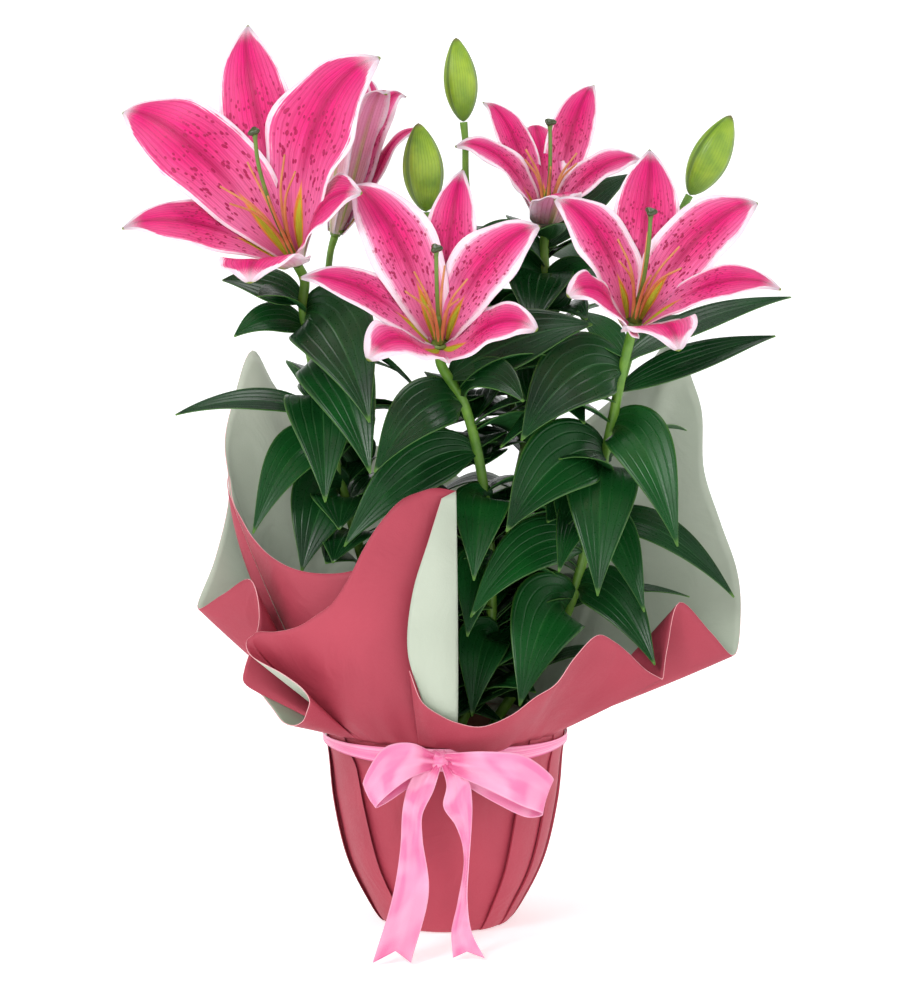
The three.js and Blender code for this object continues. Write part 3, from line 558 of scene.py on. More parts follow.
def buildWrap():
    bm = newMesh()
    columns = cupColumns()
    cupVerts = addSheet(bm, len(columns) - 1, cup["rowsUp"], cupPlace(columns))
    bmesh.ops.remove_doubles(bm, verts=cupVerts, dist=0.01 * mm)
    low = cup["rows"][0][1] * mm
    bottom = {
        edge
        for vert in cupVerts
        if vert.is_valid
        for edge in vert.link_edges
        if edge.is_boundary and max(end.co.z for end in edge.verts) < low + 0.3 * mm
    }
    bmesh.ops.holes_fill(bm, edges=list(bottom), sides=0)
    for edge in bm.edges:
        edge.smooth = edge.calc_face_angle(0) < math.radians(cup["sharp"])
    sheets = [(name, values) for name, values in collar.items() if isinstance(values, dict)]
    for seed, (name, values) in enumerate(sheets):
        place = collarPlace(values, seed)
        addSheet(bm, values["columns"], values["rows"], place, 0.0, values.get("faces", 0))
        if name == "back":
            layer = bm.loops.layers.uv.active
            for face in bm.faces:
                share = face.loops[0][layer].uv.x
                isGusset = any(low <= share < high for low, high in collar["roseBoth"])
                if isGusset and face.calc_center_median().z > collar["footHeight"] * mm:
                    face.material_index = collar["gussetFaces"]
        if name == "frontLeft":
            addSheet(bm, cuff["columns"], values["rows"], cuffPlace(place))
    addSheet(bm, *lapel["grid"], lapelPlace())
    rose = paperMaterial("rosePaper", paperValues["rose"], paperValues["roseDeep"])
    sage = paperMaterial("sagePaper", paperValues["sage"], paperValues["sageDeep"])
    edge = cutEdgeAndHighlightMaterial()
    # in threes for the front, back and rim of the common sheets, of the roll and of the gussets
    papers = [rose, sage, edge, sage, rose, edge, rose, rose, edge]
    piece = makePiece("paperWrap", bm, papers, ["paper_wrap"])
    addWall(piece, paperValues["thickness"], 1, 2)


buildWrap()
print("wrap folded")


# Ribbon: one length of satin, as a band, a knot, two loops and two tails

ribbonValues = {
    "pink": (234, 112, 164),
    # pale: the painted highlight colour of the streaks and sheen, and the selvage's colour
    "pale": (250, 178, 208),
    # deep: the painted shade colour of the folds by the knot
    "deep": (204, 56, 118),
    "thickness": 0.5,
    "flat": (0.021, 0.88),
    # wrinkles by the knot: count over the width, depth and how far along they reach
    "wrinkles": (2.5, 1.2, 0.11),
    "notch": 0.035,
    "across": 24,
    "bulge": 0.9,
    "knotCentre": (-3.5, -88, 124),
    "knotSize": (6.6, 6.4, 8),
}

ribbonStrips = {
    "leftLoop": {
        "isTail": 0,
        "steps": 64,
        "lower": [
            (-6, -90, 119), (-22, -104, 116), (-36, -108, 106), (-43, -106, 98),
            (-38, -97, 98), (-23, -92, 107), (-6, -87, 119),
        ],
        "upper": [
            (-6, -92, 129), (-22, -101, 138), (-38, -103, 135), (-51, -100, 112),
            (-46, -90, 109), (-26, -89, 123), (-6, -86, 128),
        ],
    },
    "rightLoop": {
        "isTail": 0,
        "steps": 64,
        "lower": [
            (-3, -90, 119), (24, -103, 110), (48, -106, 99), (61, -103, 93),
            (52, -95, 89), (31, -92, 98), (-3, -87, 118),
        ],
        "upper": [
            (-3, -92, 129), (26, -99, 132), (50, -98, 129), (68, -94, 113),
            (60, -88, 110), (34, -89, 119), (-3, -86, 127),
        ],
    },
    "leftTail": {
        "isTail": 1,
        "steps": 60,
        "lower": [
            (-10, -92, 124), (-21, -96, 114), (-26, -99, 98), (-28, -103, 70),
            (-33, -107, 40), (-45, -119, 2.2),
        ],
        "upper": [
            (-2, -93, 123), (-7, -98, 107), (-14, -101, 92), (-14, -104, 78),
            (-10, -109, 45), (-21, -119, 2.2),
        ],
    },
    "rightTail": {
        "isTail": 1,
        "steps": 70,
        "lower": [
            (-3, -93, 124), (1, -97, 110), (-1, -99, 97), (7, -102, 85),
            (12, -97, 64), (8, -101, 36), (4, -105, 18), (5, -107, 2.2),
        ],
        "upper": [
            (5, -92, 124), (15, -97, 113), (17, -98, 101), (17, -98, 88),
            (15, -105, 64), (14, -107, 38), (17, -107, 18), (25, -108, 2.2),
        ],
    },
}

band = {
    "radius": 79.9, "bottom": 117.5, "top": 129.5, "narrow": 3.4, "pucker": 0.25,
    "columns": 240, "rows": 8,
}


def satinMaterial():
    material, shader = newMaterial("pinkSatin", 0.3, {
        "Anisotropic": 0.6,
        "Sheen Weight": 0.1,
        "Specular IOR Level": 0.7,
    })
    _, uv = places(shader)
    _, along = axesOf(uv)
    feeds = {"Vector": stretched(uv, (160, 1, 1)), "Scale": 1.0, "Distortion": 0.4}
    threads = addNode("ShaderNodeTexWave", feeds).outputs["Fac"]
    # painted highlight: the pale streaks along the ribbon and the broad pale bands of painted sheen
    # stand in for the satin's reflections
    streaks = between(grain(stretched(uv, (3.2, 4, 1)), 1.0, 1.0), 0.36, 0.64)
    sheen = between(grain(stretched(uv, (0.8, 7, 1)), 1.0, 0.0), 0.44, 0.6)
    colour = blendColour(streaks, ribbonValues["pink"], ribbonValues["pale"], 0.35)
    colour = blendColour(sheen, colour, ribbonValues["pale"], 0.5)
    # painted shade: deeper near the knot, where the gathered folds lie in shade, and less on the pale
    # streaks
    knotShade = times(between(along, 0.16, 0.0, 0.0, 0.9), between(streaks, 1.0, 0.2))
    colour = blendColour(knotShade, colour, ribbonValues["deep"])
    selvage = placeGroup(marginGroup, uv, 0.9, 0.0, 0.0)
    pale = blendColour(selvage, colour, ribbonValues["pale"], 0.7)
    feed(shader.inputs["Base Color"], pale)
    feed(shader.inputs["Roughness"], between(threads, 0.0, 1.0, 0.24, 0.34))
    reliefFrom(shader, threads, 0.03)
    return material


def stripPlace(values):
    lower = smoothLine(values["lower"])
    upper = smoothLine(values["upper"])
    isTail = values["isTail"]
    count, depth, reach = ribbonValues["wrinkles"]

    def place(u, v):
        # a swallow-tailed end
        v -= ribbonValues["notch"] * isTail * v**8 * (1 - abs(2 * u - 1))
        low, high = lower(v), upper(v)
        ahead = min(1, v + 0.01)
        along = (lower(ahead) + upper(ahead)) / 2 - (low + high) / 2
        cross = (high - low).cross(along)
        lift = cross.normalized() if cross.length > 0 else Vector()
        near = math.exp(-v / reach) + (0 if isTail else math.exp((v - 1) / reach))
        wrinkle = depth * near * math.sin(2 * math.pi * count * u + 3 * v) * math.sin(math.pi * u)
        return low.lerp(high, u) + lift * (ribbonValues["bulge"] * math.sin(math.pi * u) + wrinkle)

    return place


def bandPlace(u, v):
    turn = 2 * math.pi * u
    half = (band["top"] - band["bottom"]) / 2 - band["narrow"] * math.sin(turn) ** 2
    height = (band["top"] + band["bottom"]) / 2 + half * (2 * v - 1)
    pucker = band["pucker"] * math.sin(turn * 3 + 9 * v) * math.sin(math.pi * v)
    radius = band["radius"] + pucker
    return Vector((radius * math.sin(turn), -radius * math.cos(turn), height))


def buildRibbon():
    bm = newMesh()
    ring = addSheet(bm, band["columns"], band["rows"], bandPlace)
    bmesh.ops.remove_doubles(bm, verts=ring, dist=0.01 * mm)
    for values in ribbonStrips.values():
        addSheet(bm, ribbonValues["across"], values["steps"], stripPlace(values))
    satin = satinMaterial()
    piece = makePiece("satinRibbon", bm, [satin], ["ribbon"])
    addWall(piece, ribbonValues["thickness"], 0, 0)
    knotMesh = newMesh()
    across, deep, high = ribbonValues["knotSize"]
    made = bmesh.ops.create_uvsphere(
        knotMesh, u_segments=40, v_segments=24, radius=1.0, calc_uvs=True
    )
    for vert in made["verts"]:
        x, y, z = vert.co
        folds = 1 + 0.07 * math.sin(5 * z + 2.5 * x) + 0.04 * math.sin(9 * x - 3 * z)
        waist = 1 - 0.16 * bell(x, 0, 0.4)
        spot = Vector((x * across * folds, y * deep * folds, z * high * waist * folds))
        vert.co = (spot + Vector(ribbonValues["knotCentre"])) * mm
    for face in knotMesh.faces:
        face.smooth = True
    knot = makePiece("ribbonKnot", knotMesh, [satin], ["ribbon"])


buildRibbon()
print("ribbon tied")


# Flowers. lean is the heading of a flower's axis, in degrees from the front towards the right,
# and its tilt from upright. A tepal has its turn about the axis, its reach, its spread from the
# axis, its half width and how far its tip curls back. The last three are the broad inner ones.
# The front tepals, which rise as a bowl before they curl out, have the turn of their root too.

blooms = {
    "left": {
        "base": (-93, -40, 432), "lean": (-35, 36), "style": 92, "tint": 1.0,
        "tepals": [
            (-26, 160, 43, 23, 0.03), (90, 96, 52, 24, 0.06), (-132, 116, 50, 20, 0.02),
            (34, 143, 46, 34, 0.05), (-80, 150, 45, 28, 0.05), (160, 84, 60, 26, 0.06, 174),
        ],
    },
    "centre": {
        "base": (-3, -70, 381), "lean": (-4, 36), "style": 70, "tint": 0.15,
        "tepals": [
            (-100, 108, 50, 15, 0.03), (9, 115, 46, 15.5, 0.03), (118, 84, 58, 18, 0.05, 140),
            (-42, 117, 45, 22, 0.04), (55, 100, 50, 21, 0.05), (-150, 88, 58, 21, 0.06, -168),
        ],
    },
    "right": {
        "base": (118, -50, 393), "lean": (14, 35), "style": 80, "tint": 0.4,
        "tepals": [
            (12, 116, 46, 20, 0.03), (128, 112, 50, 15, 0.06), (-118, 84, 52, 19, 0.04, -140),
            (-42, 96, 50, 19, 0.05), (68, 112, 48, 21, 0.05), (178, 86, 60, 21, 0.06, 172),
        ],
    },
    "back": {
        "base": (65, 15, 453), "lean": (10, 20), "style": 68, "tint": 0.3,
        "tepals": [
            (-36, 94, 42, 12, 0.03), (33, 106, 42, 14, 0.03), (178, 58, 50, 16, 0.06, 178),
            (-86, 84, 48, 14, 0.05), (-2, 76, 46, 15, 0.04), (96, 78, 50, 14, 0.05),
        ],
    },
    "half_open": {
        "base": (-72, 30, 448), "lean": (70, 16), "style": 0, "tint": 0.0,
        "tepals": [
            (-78, 126, 26, 13, 0.02), (62, 112, 24, 13, 0.02), (172, 92, 26, 13, 0.02),
            (-8, 116, 15, 12, 0.02), (118, 104, 17, 12, 0.02), (-128, 106, 16, 12, 0.02),
        ],
    },
}

tepalValues = {
    "thickness": 0.7,
    "across": 20,
    "along": 34,
    "outer": {
        "claw": (4.6, 2), "throat": 0.19, "rise": 0.34, "back": 0.34, "belly": -0.05,
        "fullness": 1.0, "hollow": 0.25, "front": 0.4, "ruffle": 0.05,
    },
    "inner": {
        "claw": (4.6, 2), "throat": 0.08, "rise": 0.34, "back": 0.34, "belly": 0.03,
        "fullness": 0.9, "hollow": 0.4, "front": 0.4, "ruffle": 0.1,
    },
    "bowl": {
        "claw": (3, 3), "throat": 0.3, "rise": 0.12, "back": 0.42, "belly": 0.08,
        "fullness": 0.72, "hollow": 0.3, "front": 0.45, "ruffle": 0.08,
    },
    # even rows, place of the widest row, half width of the root, how flat the tip is, and waves,
    # ripples, midrib groove and dip of the tip
    "rows": 1.25,
    "widest": 1.05,
    "root": 1.8,
    "tipFlat": -0.2,
    "waves": 5.5,
    "ripple": 0.8,
    "groove": 0.9,
    "tipDip": 2.2,
    "hot": (236, 20, 124),
    "magenta": (172, 0, 80),
    "soft": (246, 136, 188),
    "white": (250, 226, 238),
    "throatGreen": (196, 206, 60),
    "throatOrange": (236, 160, 60),
    "spot": (164, 4, 72),
    "tipGreen": (150, 170, 60),
    "outside": ((226, 206, 190), (236, 150, 188)),
    "outsideVein": (222, 90, 150),
    "keel": ((176, 190, 92), (214, 120, 150)),
}


def bloomFrame(spec):
    heading, tilt = (math.radians(angle) for angle in spec["lean"])
    out = math.sin(tilt)
    axis = Vector((out * math.sin(heading), -out * math.cos(heading), math.cos(tilt)))
    up = Vector((0, 0, 1))
    up = (up - axis * up.dot(axis)).normalized()
    return {"base": Vector(spec["base"]), "axis": axis, "up": up, "right": up.cross(axis)}


def radialOf(spot, turn):
    angle = math.radians(turn)
    return spot["up"] * math.cos(angle) + spot["right"] * math.sin(angle)


def bloomPoint(spot, turn, out, high):
    return spot["base"] + radialOf(spot, turn) * out + spot["axis"] * high


def tepalPlace(spot, tepal, kind, seed):
    form = tepalValues
    turn, reach, spread, half, curl = tepal[:5]
    root = tepal[5] if len(tepal) > 5 else turn
    out = reach * math.sin(math.radians(spread))
    high = reach * math.cos(math.radians(spread))
    claw, level = kind["claw"]
    midrib = [
        bloomPoint(spot, root, claw, level),
        bloomPoint(spot, root, claw + reach * kind["throat"], reach * kind["rise"]),
        bloomPoint(spot, turn, out - reach * kind["back"], high + reach * (curl + kind["belly"])),
        bloomPoint(spot, turn, out, high),
    ]
    facing = (spot["axis"] - radialOf(spot, turn)).normalized()
    facing = (facing + Vector((0, -kind["front"], 0))).normalized()

    def place(u, v):
        s = 2 * u - 1
        t = 1 - (1 - v) ** form["rows"]
        outline = max(0, math.sin(math.pi * min(t, 0.9999) ** form["widest"])) ** kind["fullness"]
        width = 0.5 + half * outline * 1.03 + form["root"] * (1 - t) ** 4
        heading = bendHeading(midrib, t)
        sideways = heading.cross(facing).normalized()
        normal = sideways.cross(heading)
        lift = s * s * width * mix(kind["hollow"], form["tipFlat"], t)
        wave = math.sin(t * form["waves"] * math.pi + seed * 1.7 + (1.9 if s > 0 else 0))
        ripple = noise.noise(Vector((s * 2 + seed * 3, t * 6, seed)))
        frill = abs(s) ** 2.5 * (wave + form["ripple"] * ripple) * ease(0.12, 0.35, t) * outline
        lift += half * kind["ruffle"] * frill
        lift -= form["groove"] * bell(s, 0, 0.1) * ease(0, 0.15, t) * ease(1, 0.7, t)
        lift -= form["tipDip"] * ease(0.86, 1, t) ** 2
        return bend(midrib, t) + sideways * (s * width) + normal * lift

    return place


def tepalInsideMaterial():
    material, shader = newMaterial("tepalInside", 0.45, {
        "Subsurface Weight": 0.08,
        "Subsurface Scale": 0.002,
        "Specular IOR Level": 0.35,
    })
    objectPlace, uv = places(shader)
    across, along = axesOf(uv)
    tint = tintOf(shader)
    across = offMiddle(across)
    values = tepalValues
    mottle = placeGroup(mottleGroup, objectPlace, 60.0, 0.8)
    body = blendColour(mottle, values["hot"], values["magenta"], 0.55)
    # paler towards the throat and the sides, least on a deeply tinted tepal
    pale = times(between(across, 0.1, 0.4), between(tint, 0.0, 1.0, 0.75, 0.2))
    body = blendColour(pale, body, values["soft"])
    body = blendColour(between(along, 0.5, 0.14, 0.0, 0.85), body, values["soft"])
    rays = placeGroup(veinGroup, uv, 15.0, 0.35, 0.05)
    fine = placeGroup(veinGroup, uv, 34.0, 0.4, 0.09)
    streaks = plus(times(rays, 0.32), times(fine, 0.22))
    streaks = times(streaks, between(along, 0.1, 0.5, 0.4, 1.0))
    body = blendColour(streaks, body, values["magenta"])
    ribShare = times(between(across, 0.1, 0.0), between(along, 0.2, 0.42, 0.0, 0.85))
    body = blendColour(ribShare, body, values["magenta"])
    # white margin, feathered along the veins and widest at the tip
    marginStart = between(tint, 0.0, 1.0, 0.6, 0.86)
    feathered = maths("MULTIPLY_ADD", fine, -0.1, marginStart)
    margin = placeGroup(marginGroup, uv, feathered, 0.16, 0.6)
    body = blendColour(between(margin, 0.1, 0.75), body, values["white"])
    tipLine = maths("MULTIPLY_ADD", fine, 0.07, along)
    body = blendColour(between(tipLine, 0.86, 0.97, 0.0, 0.9), body, values["white"])
    # crimson spots over the lower half
    cells = addNode("ShaderNodeTexVoronoi", {"Vector": stretched(uv, (19, 34, 1)), "Scale": 1.0})
    sizes = between(grain(stretched(uv, (4, 6, 1)), 3.0, 1.0), 0.35, 0.65, 0.2, 0.4)
    spots = between(maths("SUBTRACT", sizes, cells.outputs["Distance"]), 0.0, 0.06)
    zone = times(between(along, 0.68, 0.52), between(along, 0.1, 0.18))
    zone = times(zone, between(across, 0.45, 0.34))
    spots = times(spots, zone)
    body = blendColour(spots, body, values["spot"], 0.9)
    # the raised wedge at the foot: green with an orange rim
    wedge = maths("SUBTRACT", between(along, 0.34, 0.08, -0.04, 0.14), across)
    body = blendColour(between(wedge, -0.03, 0.01), body, values["throatOrange"])
    body = blendColour(between(wedge, 0.02, 0.05), body, values["throatGreen"])
    body = blendColour(between(along, 0.965, 0.99), body, values["tipGreen"])
    feed(shader.inputs["Base Color"], body)
    grooves = times(plus(rays, fine), -0.3)
    raised = plus(times(spots, 0.8), between(wedge, 0.0, 0.04, 0.0, 1.6))
    reliefFrom(shader, plus(grooves, raised), 0.5)
    return material


def tepalOutsideMaterial():
    material, shader = newMaterial("tepalOutside", 0.45, {
        "Subsurface Weight": 0.12,
        "Subsurface Scale": 0.002,
        "Specular IOR Level": 0.4,
    })
    _, uv = places(shader)
    across, along = axesOf(uv)
    across = offMiddle(across)
    body = blendColour(between(along, 0.0, 0.5), *tepalValues["outside"])
    rays = placeGroup(veinGroup, uv, 11.0, 0.25, 0.05)
    body = blendColour(rays, body, tepalValues["outsideVein"], 0.3)
    margin = placeGroup(marginGroup, uv, 0.5, 0.4, 0.2)
    body = blendColour(margin, body, tepalValues["white"])
    keel = between(across, 0.1, 0.02)
    keelColour = blendColour(between(along, 0.1, 0.7), *tepalValues["keel"])
    body = blendColour(keel, body, keelColour, 0.8)
    body = blendColour(between(along, 0.94, 1.0), body, tepalValues["tipGreen"])
    feed(shader.inputs["Base Color"], body)
    reliefFrom(shader, maths("SUBTRACT", keel, rays), 0.3)
    return material


def smoothGreenMaterial(name, light, deep, roughness=0.4):
    material, shader = newMaterial(name, roughness)
    objectPlace, uv = places(shader)
    mottle = placeGroup(mottleGroup, objectPlace, 120.0, 0.9)
    ribs = placeGroup(veinGroup, uv, 9.0, 0.4, 0.02)
    colour = blendColour(mottle, deep, light)
    colour = blendColour(ribs, colour, deep, 0.25)
    feed(shader.inputs["Base Color"], colour)
    reliefFrom(shader, ribs, 0.15)
    return material


pistil = {
    "footHeight": 5.4,
    "ovaryRadius": 3,
    "styleRadius": 1.3,
    "stigmaRadius": 3.6,
    "filamentRadius": 1.15,
    "filaments": 6,
    "lean": 0.16,
    "ovaryGrid": (18, 12),
    "styleGrid": (12, 30),
    "filamentGrid": (8, 20),
    # light and deep colours
    "green": ((120, 150, 60), (84, 118, 44)),
    "stigma": ((70, 84, 40), (40, 52, 26)),
    "filament": ((236, 172, 112), (214, 132, 78)),
    # where a filament runs: shares of its reach out from the axis and along it
    "sweep": ((0.16, 0.68), (0.36, 0.94)),
    "reach": 0.78,
}

# The receptacle's heights on the axis and its radius at both ends
receptacle = {"heights": (0, 1.6, 3.4, 5), "radius": (3.4, 5.6), "grid": (20, 8)}


def buildStamens(key, spec, materials):
    bm = newMesh()
    spot = bloomFrame(spec)
    style = spec["style"]
    foot = pistil["footHeight"]
    lean = style * pistil["lean"]

    def at(out, high, turn=0):
        return bloomPoint(spot, turn, out, high)

    ovary = smoothLine([at(0, foot), at(0, foot + 4), at(0, foot + 22)])
    narrowing = lambda u, v: pistil["ovaryRadius"] * (1 - 0.5 * ease(0.75, 1, v))
    addBar(bm, ovary, narrowing, *pistil["ovaryGrid"])
    stylePath = smoothLine([at(0, 20), at(0, 40), at(lean * 0.4, style * 0.8), at(lean, style)])
    widening = lambda u, v: pistil["styleRadius"] * (1 + 0.5 * ease(0.9, 1, v))
    addBar(bm, stylePath, widening, *pistil["styleGrid"])
    stigma = bmesh.ops.create_uvsphere(bm, u_segments=24, v_segments=14, radius=1.0)["verts"]
    seat = bloomPoint(spot, 0, lean, style + 1)
    for vert in stigma:
        x, y, z = vert.co
        swell = pistil["stigmaRadius"] * (1 + 0.22 * math.cos(3 * math.atan2(y, x)))
        dip = 0.6 * pistil["stigmaRadius"] * (1 - 0.35 * bell(math.hypot(x, y), 0, 0.35) * (z > 0))
        spread = spot["right"] * (x * swell) + spot["up"] * (y * swell)
        vert.co = (seat + spread + spot["axis"] * (z * dip)) * mm
    for face in {face for vert in stigma for face in vert.link_faces}:
        face.material_index = 1
        face.smooth = True
    reach = style * pistil["reach"]
    for i in range(pistil["filaments"]):
        turn = i * 360 / pistil["filaments"] + 12
        path = smoothLine([
            at(1.5, foot + 1.4, turn),
            at(3.4, reach * 0.35, turn),
            *(at(reach * out, reach * high, turn) for out, high in pistil["sweep"]),
        ])
        tapering = lambda u, v: pistil["filamentRadius"] * (1.15 - 0.6 * v)
        addBar(bm, path, tapering, *pistil["filamentGrid"], 0, 2)
    makePiece(key + "Stamens", bm, materials, [f"flower_{key}_stamens"])


def buildFlowers():
    inside = tepalInsideMaterial()
    outside = tepalOutsideMaterial()
    pistilGreen = smoothGreenMaterial("pistilGreen", *pistil["green"])
    stigmaGreen = smoothGreenMaterial("stigmaGreen", *pistil["stigma"], 0.3)
    filamentPeach = smoothGreenMaterial("filamentPeach", *pistil["filament"])
    seed = 0
    for key, spec in blooms.items():
        bm = newMesh()
        spot = bloomFrame(spec)
        for i, tepal in enumerate(spec["tepals"]):
            kind = tepalValues["bowl" if len(tepal) > 5 else "inner" if i > 2 else "outer"]
            tint = min(1, spec["tint"] + (0.0 if i > 2 else 0.45))
            place = tepalPlace(spot, tepal, kind, seed)
            addSheet(bm, tepalValues["across"], tepalValues["along"], place, tint)
            seed += 1
        piece = makePiece(key + "Tepals", bm, [inside, outside], [f"flower_{key}_tepals"])
        addWall(piece, tepalValues["thickness"], 1, 1)
        seatMesh = newMesh()
        line = smoothLine([bloomPoint(spot, 0, 0, high) for high in receptacle["heights"]])
        flaring = lambda u, v: mix(*receptacle["radius"], ease(0, 1, v))
        addBar(seatMesh, line, flaring, *receptacle["grid"])
        makePiece(key + "Receptacle", seatMesh, [pistilGreen], [f"flower_{key}_tepals"])
        if spec["style"]:
            buildStamens(key, spec, [pistilGreen, stigmaGreen, filamentPeach])


buildFlowers()
print("flowers opened")


# Buds: foot, tip and greatest radius

buds = {
    "bud_centre": {"foot": (-12, -20, 465), "tip": (-17, -20, 521), "radius": 12.5},
    "bud_back": {"foot": (12, 30, 522), "tip": (7, 30, 576), "radius": 10.5},
    "bud_right": {"foot": (158, 10, 475), "tip": (184, 8, 526), "radius": 12},
}

budValues = {
    "light": (160, 188, 44),
    "deep": (92, 134, 32),
    # groove: the painted shade colour laid into the grooves
    "groove": (62, 98, 24),
    "tip": (108, 96, 50),
    "sides": 48,
    "steps": 44,
    "lobes": 0.08,
    "grooveDepth": 0.1,
    "grooveWidth": 0.07,
    "widest": 0.9,
    "fullness": 0.72,
}


def budMaterial():
    material, shader = newMaterial("budSkin", 0.36, {
        "Subsurface Weight": 0.08,
        "Subsurface Scale": 0.002,
    })
    objectPlace, uv = places(shader)
    across, along = axesOf(uv)
    mottle = placeGroup(mottleGroup, objectPlace, 70.0, 0.9)
    body = blendColour(mottle, budValues["deep"], budValues["light"])
    body = blendColour(between(along, 0.35, 0.0, 0.0, 0.7), body, budValues["deep"])
    # painted shade: the three grooves are darkened with the groove colour
    lane = maths("FRACT", times(across, 3.0))
    valley = offMiddle(lane)
    groove = between(valley, 0.12, 0.0)
    body = blendColour(groove, body, budValues["groove"], 0.75)
    ribs = placeGroup(veinGroup, uv, 36.0, 0.3, 0.02)
    body = blendColour(ribs, body, budValues["groove"], 0.16)
    body = blendColour(between(along, 0.93, 1.0), body, budValues["tip"])
    feed(shader.inputs["Base Color"], body)
    reliefFrom(shader, ribs, -0.15)
    return material


def buildBuds():
    skin = budMaterial()
    for name, spec in buds.items():
        bm = newMesh()
        foot, tip = Vector(spec["foot"]), Vector(spec["tip"])

        def radius(u, v):
            outline = math.sin(math.pi * v ** budValues["widest"]) if 0 < v < 1 else 0
            swell = 1 + budValues["lobes"] * -math.cos(6 * math.pi * u)
            valley = abs((u * 3) % 1 - 0.5)
            groove = budValues["grooveDepth"] * bell(valley, 0, budValues["grooveWidth"])
            swell -= groove * ease(0.08, 0.3, v)
            full = spec["radius"] * max(outline, 0) ** budValues["fullness"]
            return 0.4 + full * (1 + (swell - 1) * ease(1, 0.8, v)) if v < 1 else 0

        addBar(bm, lambda share: foot.lerp(tip, share), radius, budValues["sides"], budValues["steps"])
        makePiece(name + "Skin", bm, [skin], [name])


buildBuds()
print("buds set")


# Stems and leaves. A stem stands on its bulb and ends under its top flower, and its pedicel
# bears the half open flower or a bud.

stems = {
    "left": {
        "foot": (-27, -4), "top": "left", "bears": "half_open",
        "path": [(-40, -4, 190), (-62, -8, 270), (-80, -18, 345), (-90, -31, 405)],
        "pedicel": [(-76, -14, 330), (-78, 8, 380)],
    },
    "centre": {
        "foot": (6, -26), "top": "centre", "bears": "bud_centre",
        "path": [(28, -20, 182), (29, -25, 242), (24, -32, 295), (12, -50, 345)],
        "pedicel": [(17, -44, 330), (2, -30, 390)],
    },
    "right": {
        "foot": (29, 6), "top": "right", "bears": "bud_right",
        "path": [(78, -2, 200), (97, -12, 279), (107, -28, 333), (113, -40, 368)],
        "pedicel": [(104, -22, 318), (122, -4, 380), (146, 10, 440)],
    },
    "back": {
        "foot": (0, 27), "top": "back", "bears": "bud_back",
        "path": [(22, 36, 190), (44, 34, 270), (60, 28, 350), (65, 20, 415)],
        "pedicel": [(52, 31, 310), (28, 34, 400), (14, 31, 480)],
    },
}

# A leaf's height on its stem, its tip, half width, arch and how far it faces the front
leaves = {
    "left": [
        (408, (-141, -34, 422), 13, 0.1, 0.5), (402, (-116, -66, 414), 12, 0.14, 0.4),
        (392, (-132, -58, 388), 13, 0.18, 0.5), (400, (-46, -110, 339), 26, 0.24, 0.75),
        (375, (-46, -96, 306), 23, 0.24, 0.75), (345, (-74, -95, 288), 23, 0.3, 0.8),
        (334, (-171, -40, 337), 12, 0.12, 0.35), (311, (-121, -62, 264), 16, 0.34, 0.6),
        (284, (-91, -60, 238), 22, 0.34, 0.8),
    ],
    "centre": [
        (313, (-63, -78, 258), 18, 0.2, 0.7), (346, (-43, -114, 309), 18, 0.2, 0.7),
        (352, (48, -112, 352), 14, 0.22, 0.6), (362, (92, -66, 396), 21, 0.1, 0.55),
        (281, (18, -88, 238), 17, 0.3, 0.75), (236, (14, -84, 202), 16, 0.3, 0.75),
        (189, (17, -72, 149), 16, 0.34, 0.8),
    ],
    "right": [
        (366, (47, -118, 327), 24, 0.22, 0.7), (310, (38, -98, 270), 24, 0.2, 0.75),
        (303, (95, -108, 229), 23, 0.26, 0.9), (327, (145, -85, 259), 19, 0.3, 0.7),
        (263, (186, -28, 218), 12, 0.22, 0.5), (269, (126, -62, 214), 13, 0.24, 0.7),
        (222, (133, -62, 180), 16, 0.24, 0.7), (207, (160, 6, 213), 8, 0.12, 0.2),
        (207, (47, -72, 157), 24, 0.3, 0.8), (246, (16, -66, 214), 17, 0.24, 0.7),
        (265, (71, -85, 243), 12, 0.24, 0.7), (352, (214, 6, 384), 11, 0.04, 0.5),
        (372, (226, 26, 408), 11, 0.06, 0.4), (370, (162, 24, 396), 12, 0.08, 0.2),
        (374, (84, -26, 402), 12, 0.08, 0.3),
    ],
    "back": [
        (440, (122, 34, 488), 15, 0.08, 0.4), (425, (20, -8, 452), 15, 0.14, 0.6),
        (400, (96, -12, 430), 15, 0.14, 0.6), (380, (34, -14, 400), 17, 0.16, 0.6),
        (350, (66, -26, 352), 18, 0.2, 0.7),
    ],
}

# Further leaves that climb a stem by the golden angle: first and last height, count, first
# turn and reach
spiral = {
    "left": (160, 372, 6, 150, 74),
    "centre": (150, 330, 4, 40, 70),
    "right": (160, 350, 5, 80, 76),
    "back": (150, 420, 8, 10, 78),
}

# How much these leaves vary: a middle, a swing and a step for their reach and half width
variety = {"reach": (0.9, 0.16, 2.4), "half": (14, 3, 1.7), "rise": 0.22}

foliageValues = {
    "bulbTop": 53.3,
    "straight": (84, 120),
    "seatGap": 0.3,
    "stemRadius": (3.6, 3.1),
    "pedicelRadius": (2.2, 2.6),
    "goldenAngle": 137.5,
    "tipShifts": (0, 8, -8, 16, -16, 24, -24, 34, -34),
    "turnShifts": (0, 14, -14, 28, -28, 42, -42, 60, -60),
    "match": 0.6,
    "thickness": 0.6,
    "across": 14,
    "along": 30,
    "stemGrid": (24, 110),
    "pedicelGrid": (20, 50),
    # place of the widest row, half width of the root, depth of the fold, sway and midrib groove
    "widest": 0.78,
    "root": 0.9,
    "fold": 0.17,
    "sway": 1.76,
    "groove": 0.35,
    "dark": (6, 34, 14),
    "fresh": (18, 82, 30),
    "under": (40, 84, 42),
    "vein": (44, 100, 46),
    "margin": (104, 150, 60),
    "stemSkin": ((74, 122, 36), (120, 164, 58)),
}
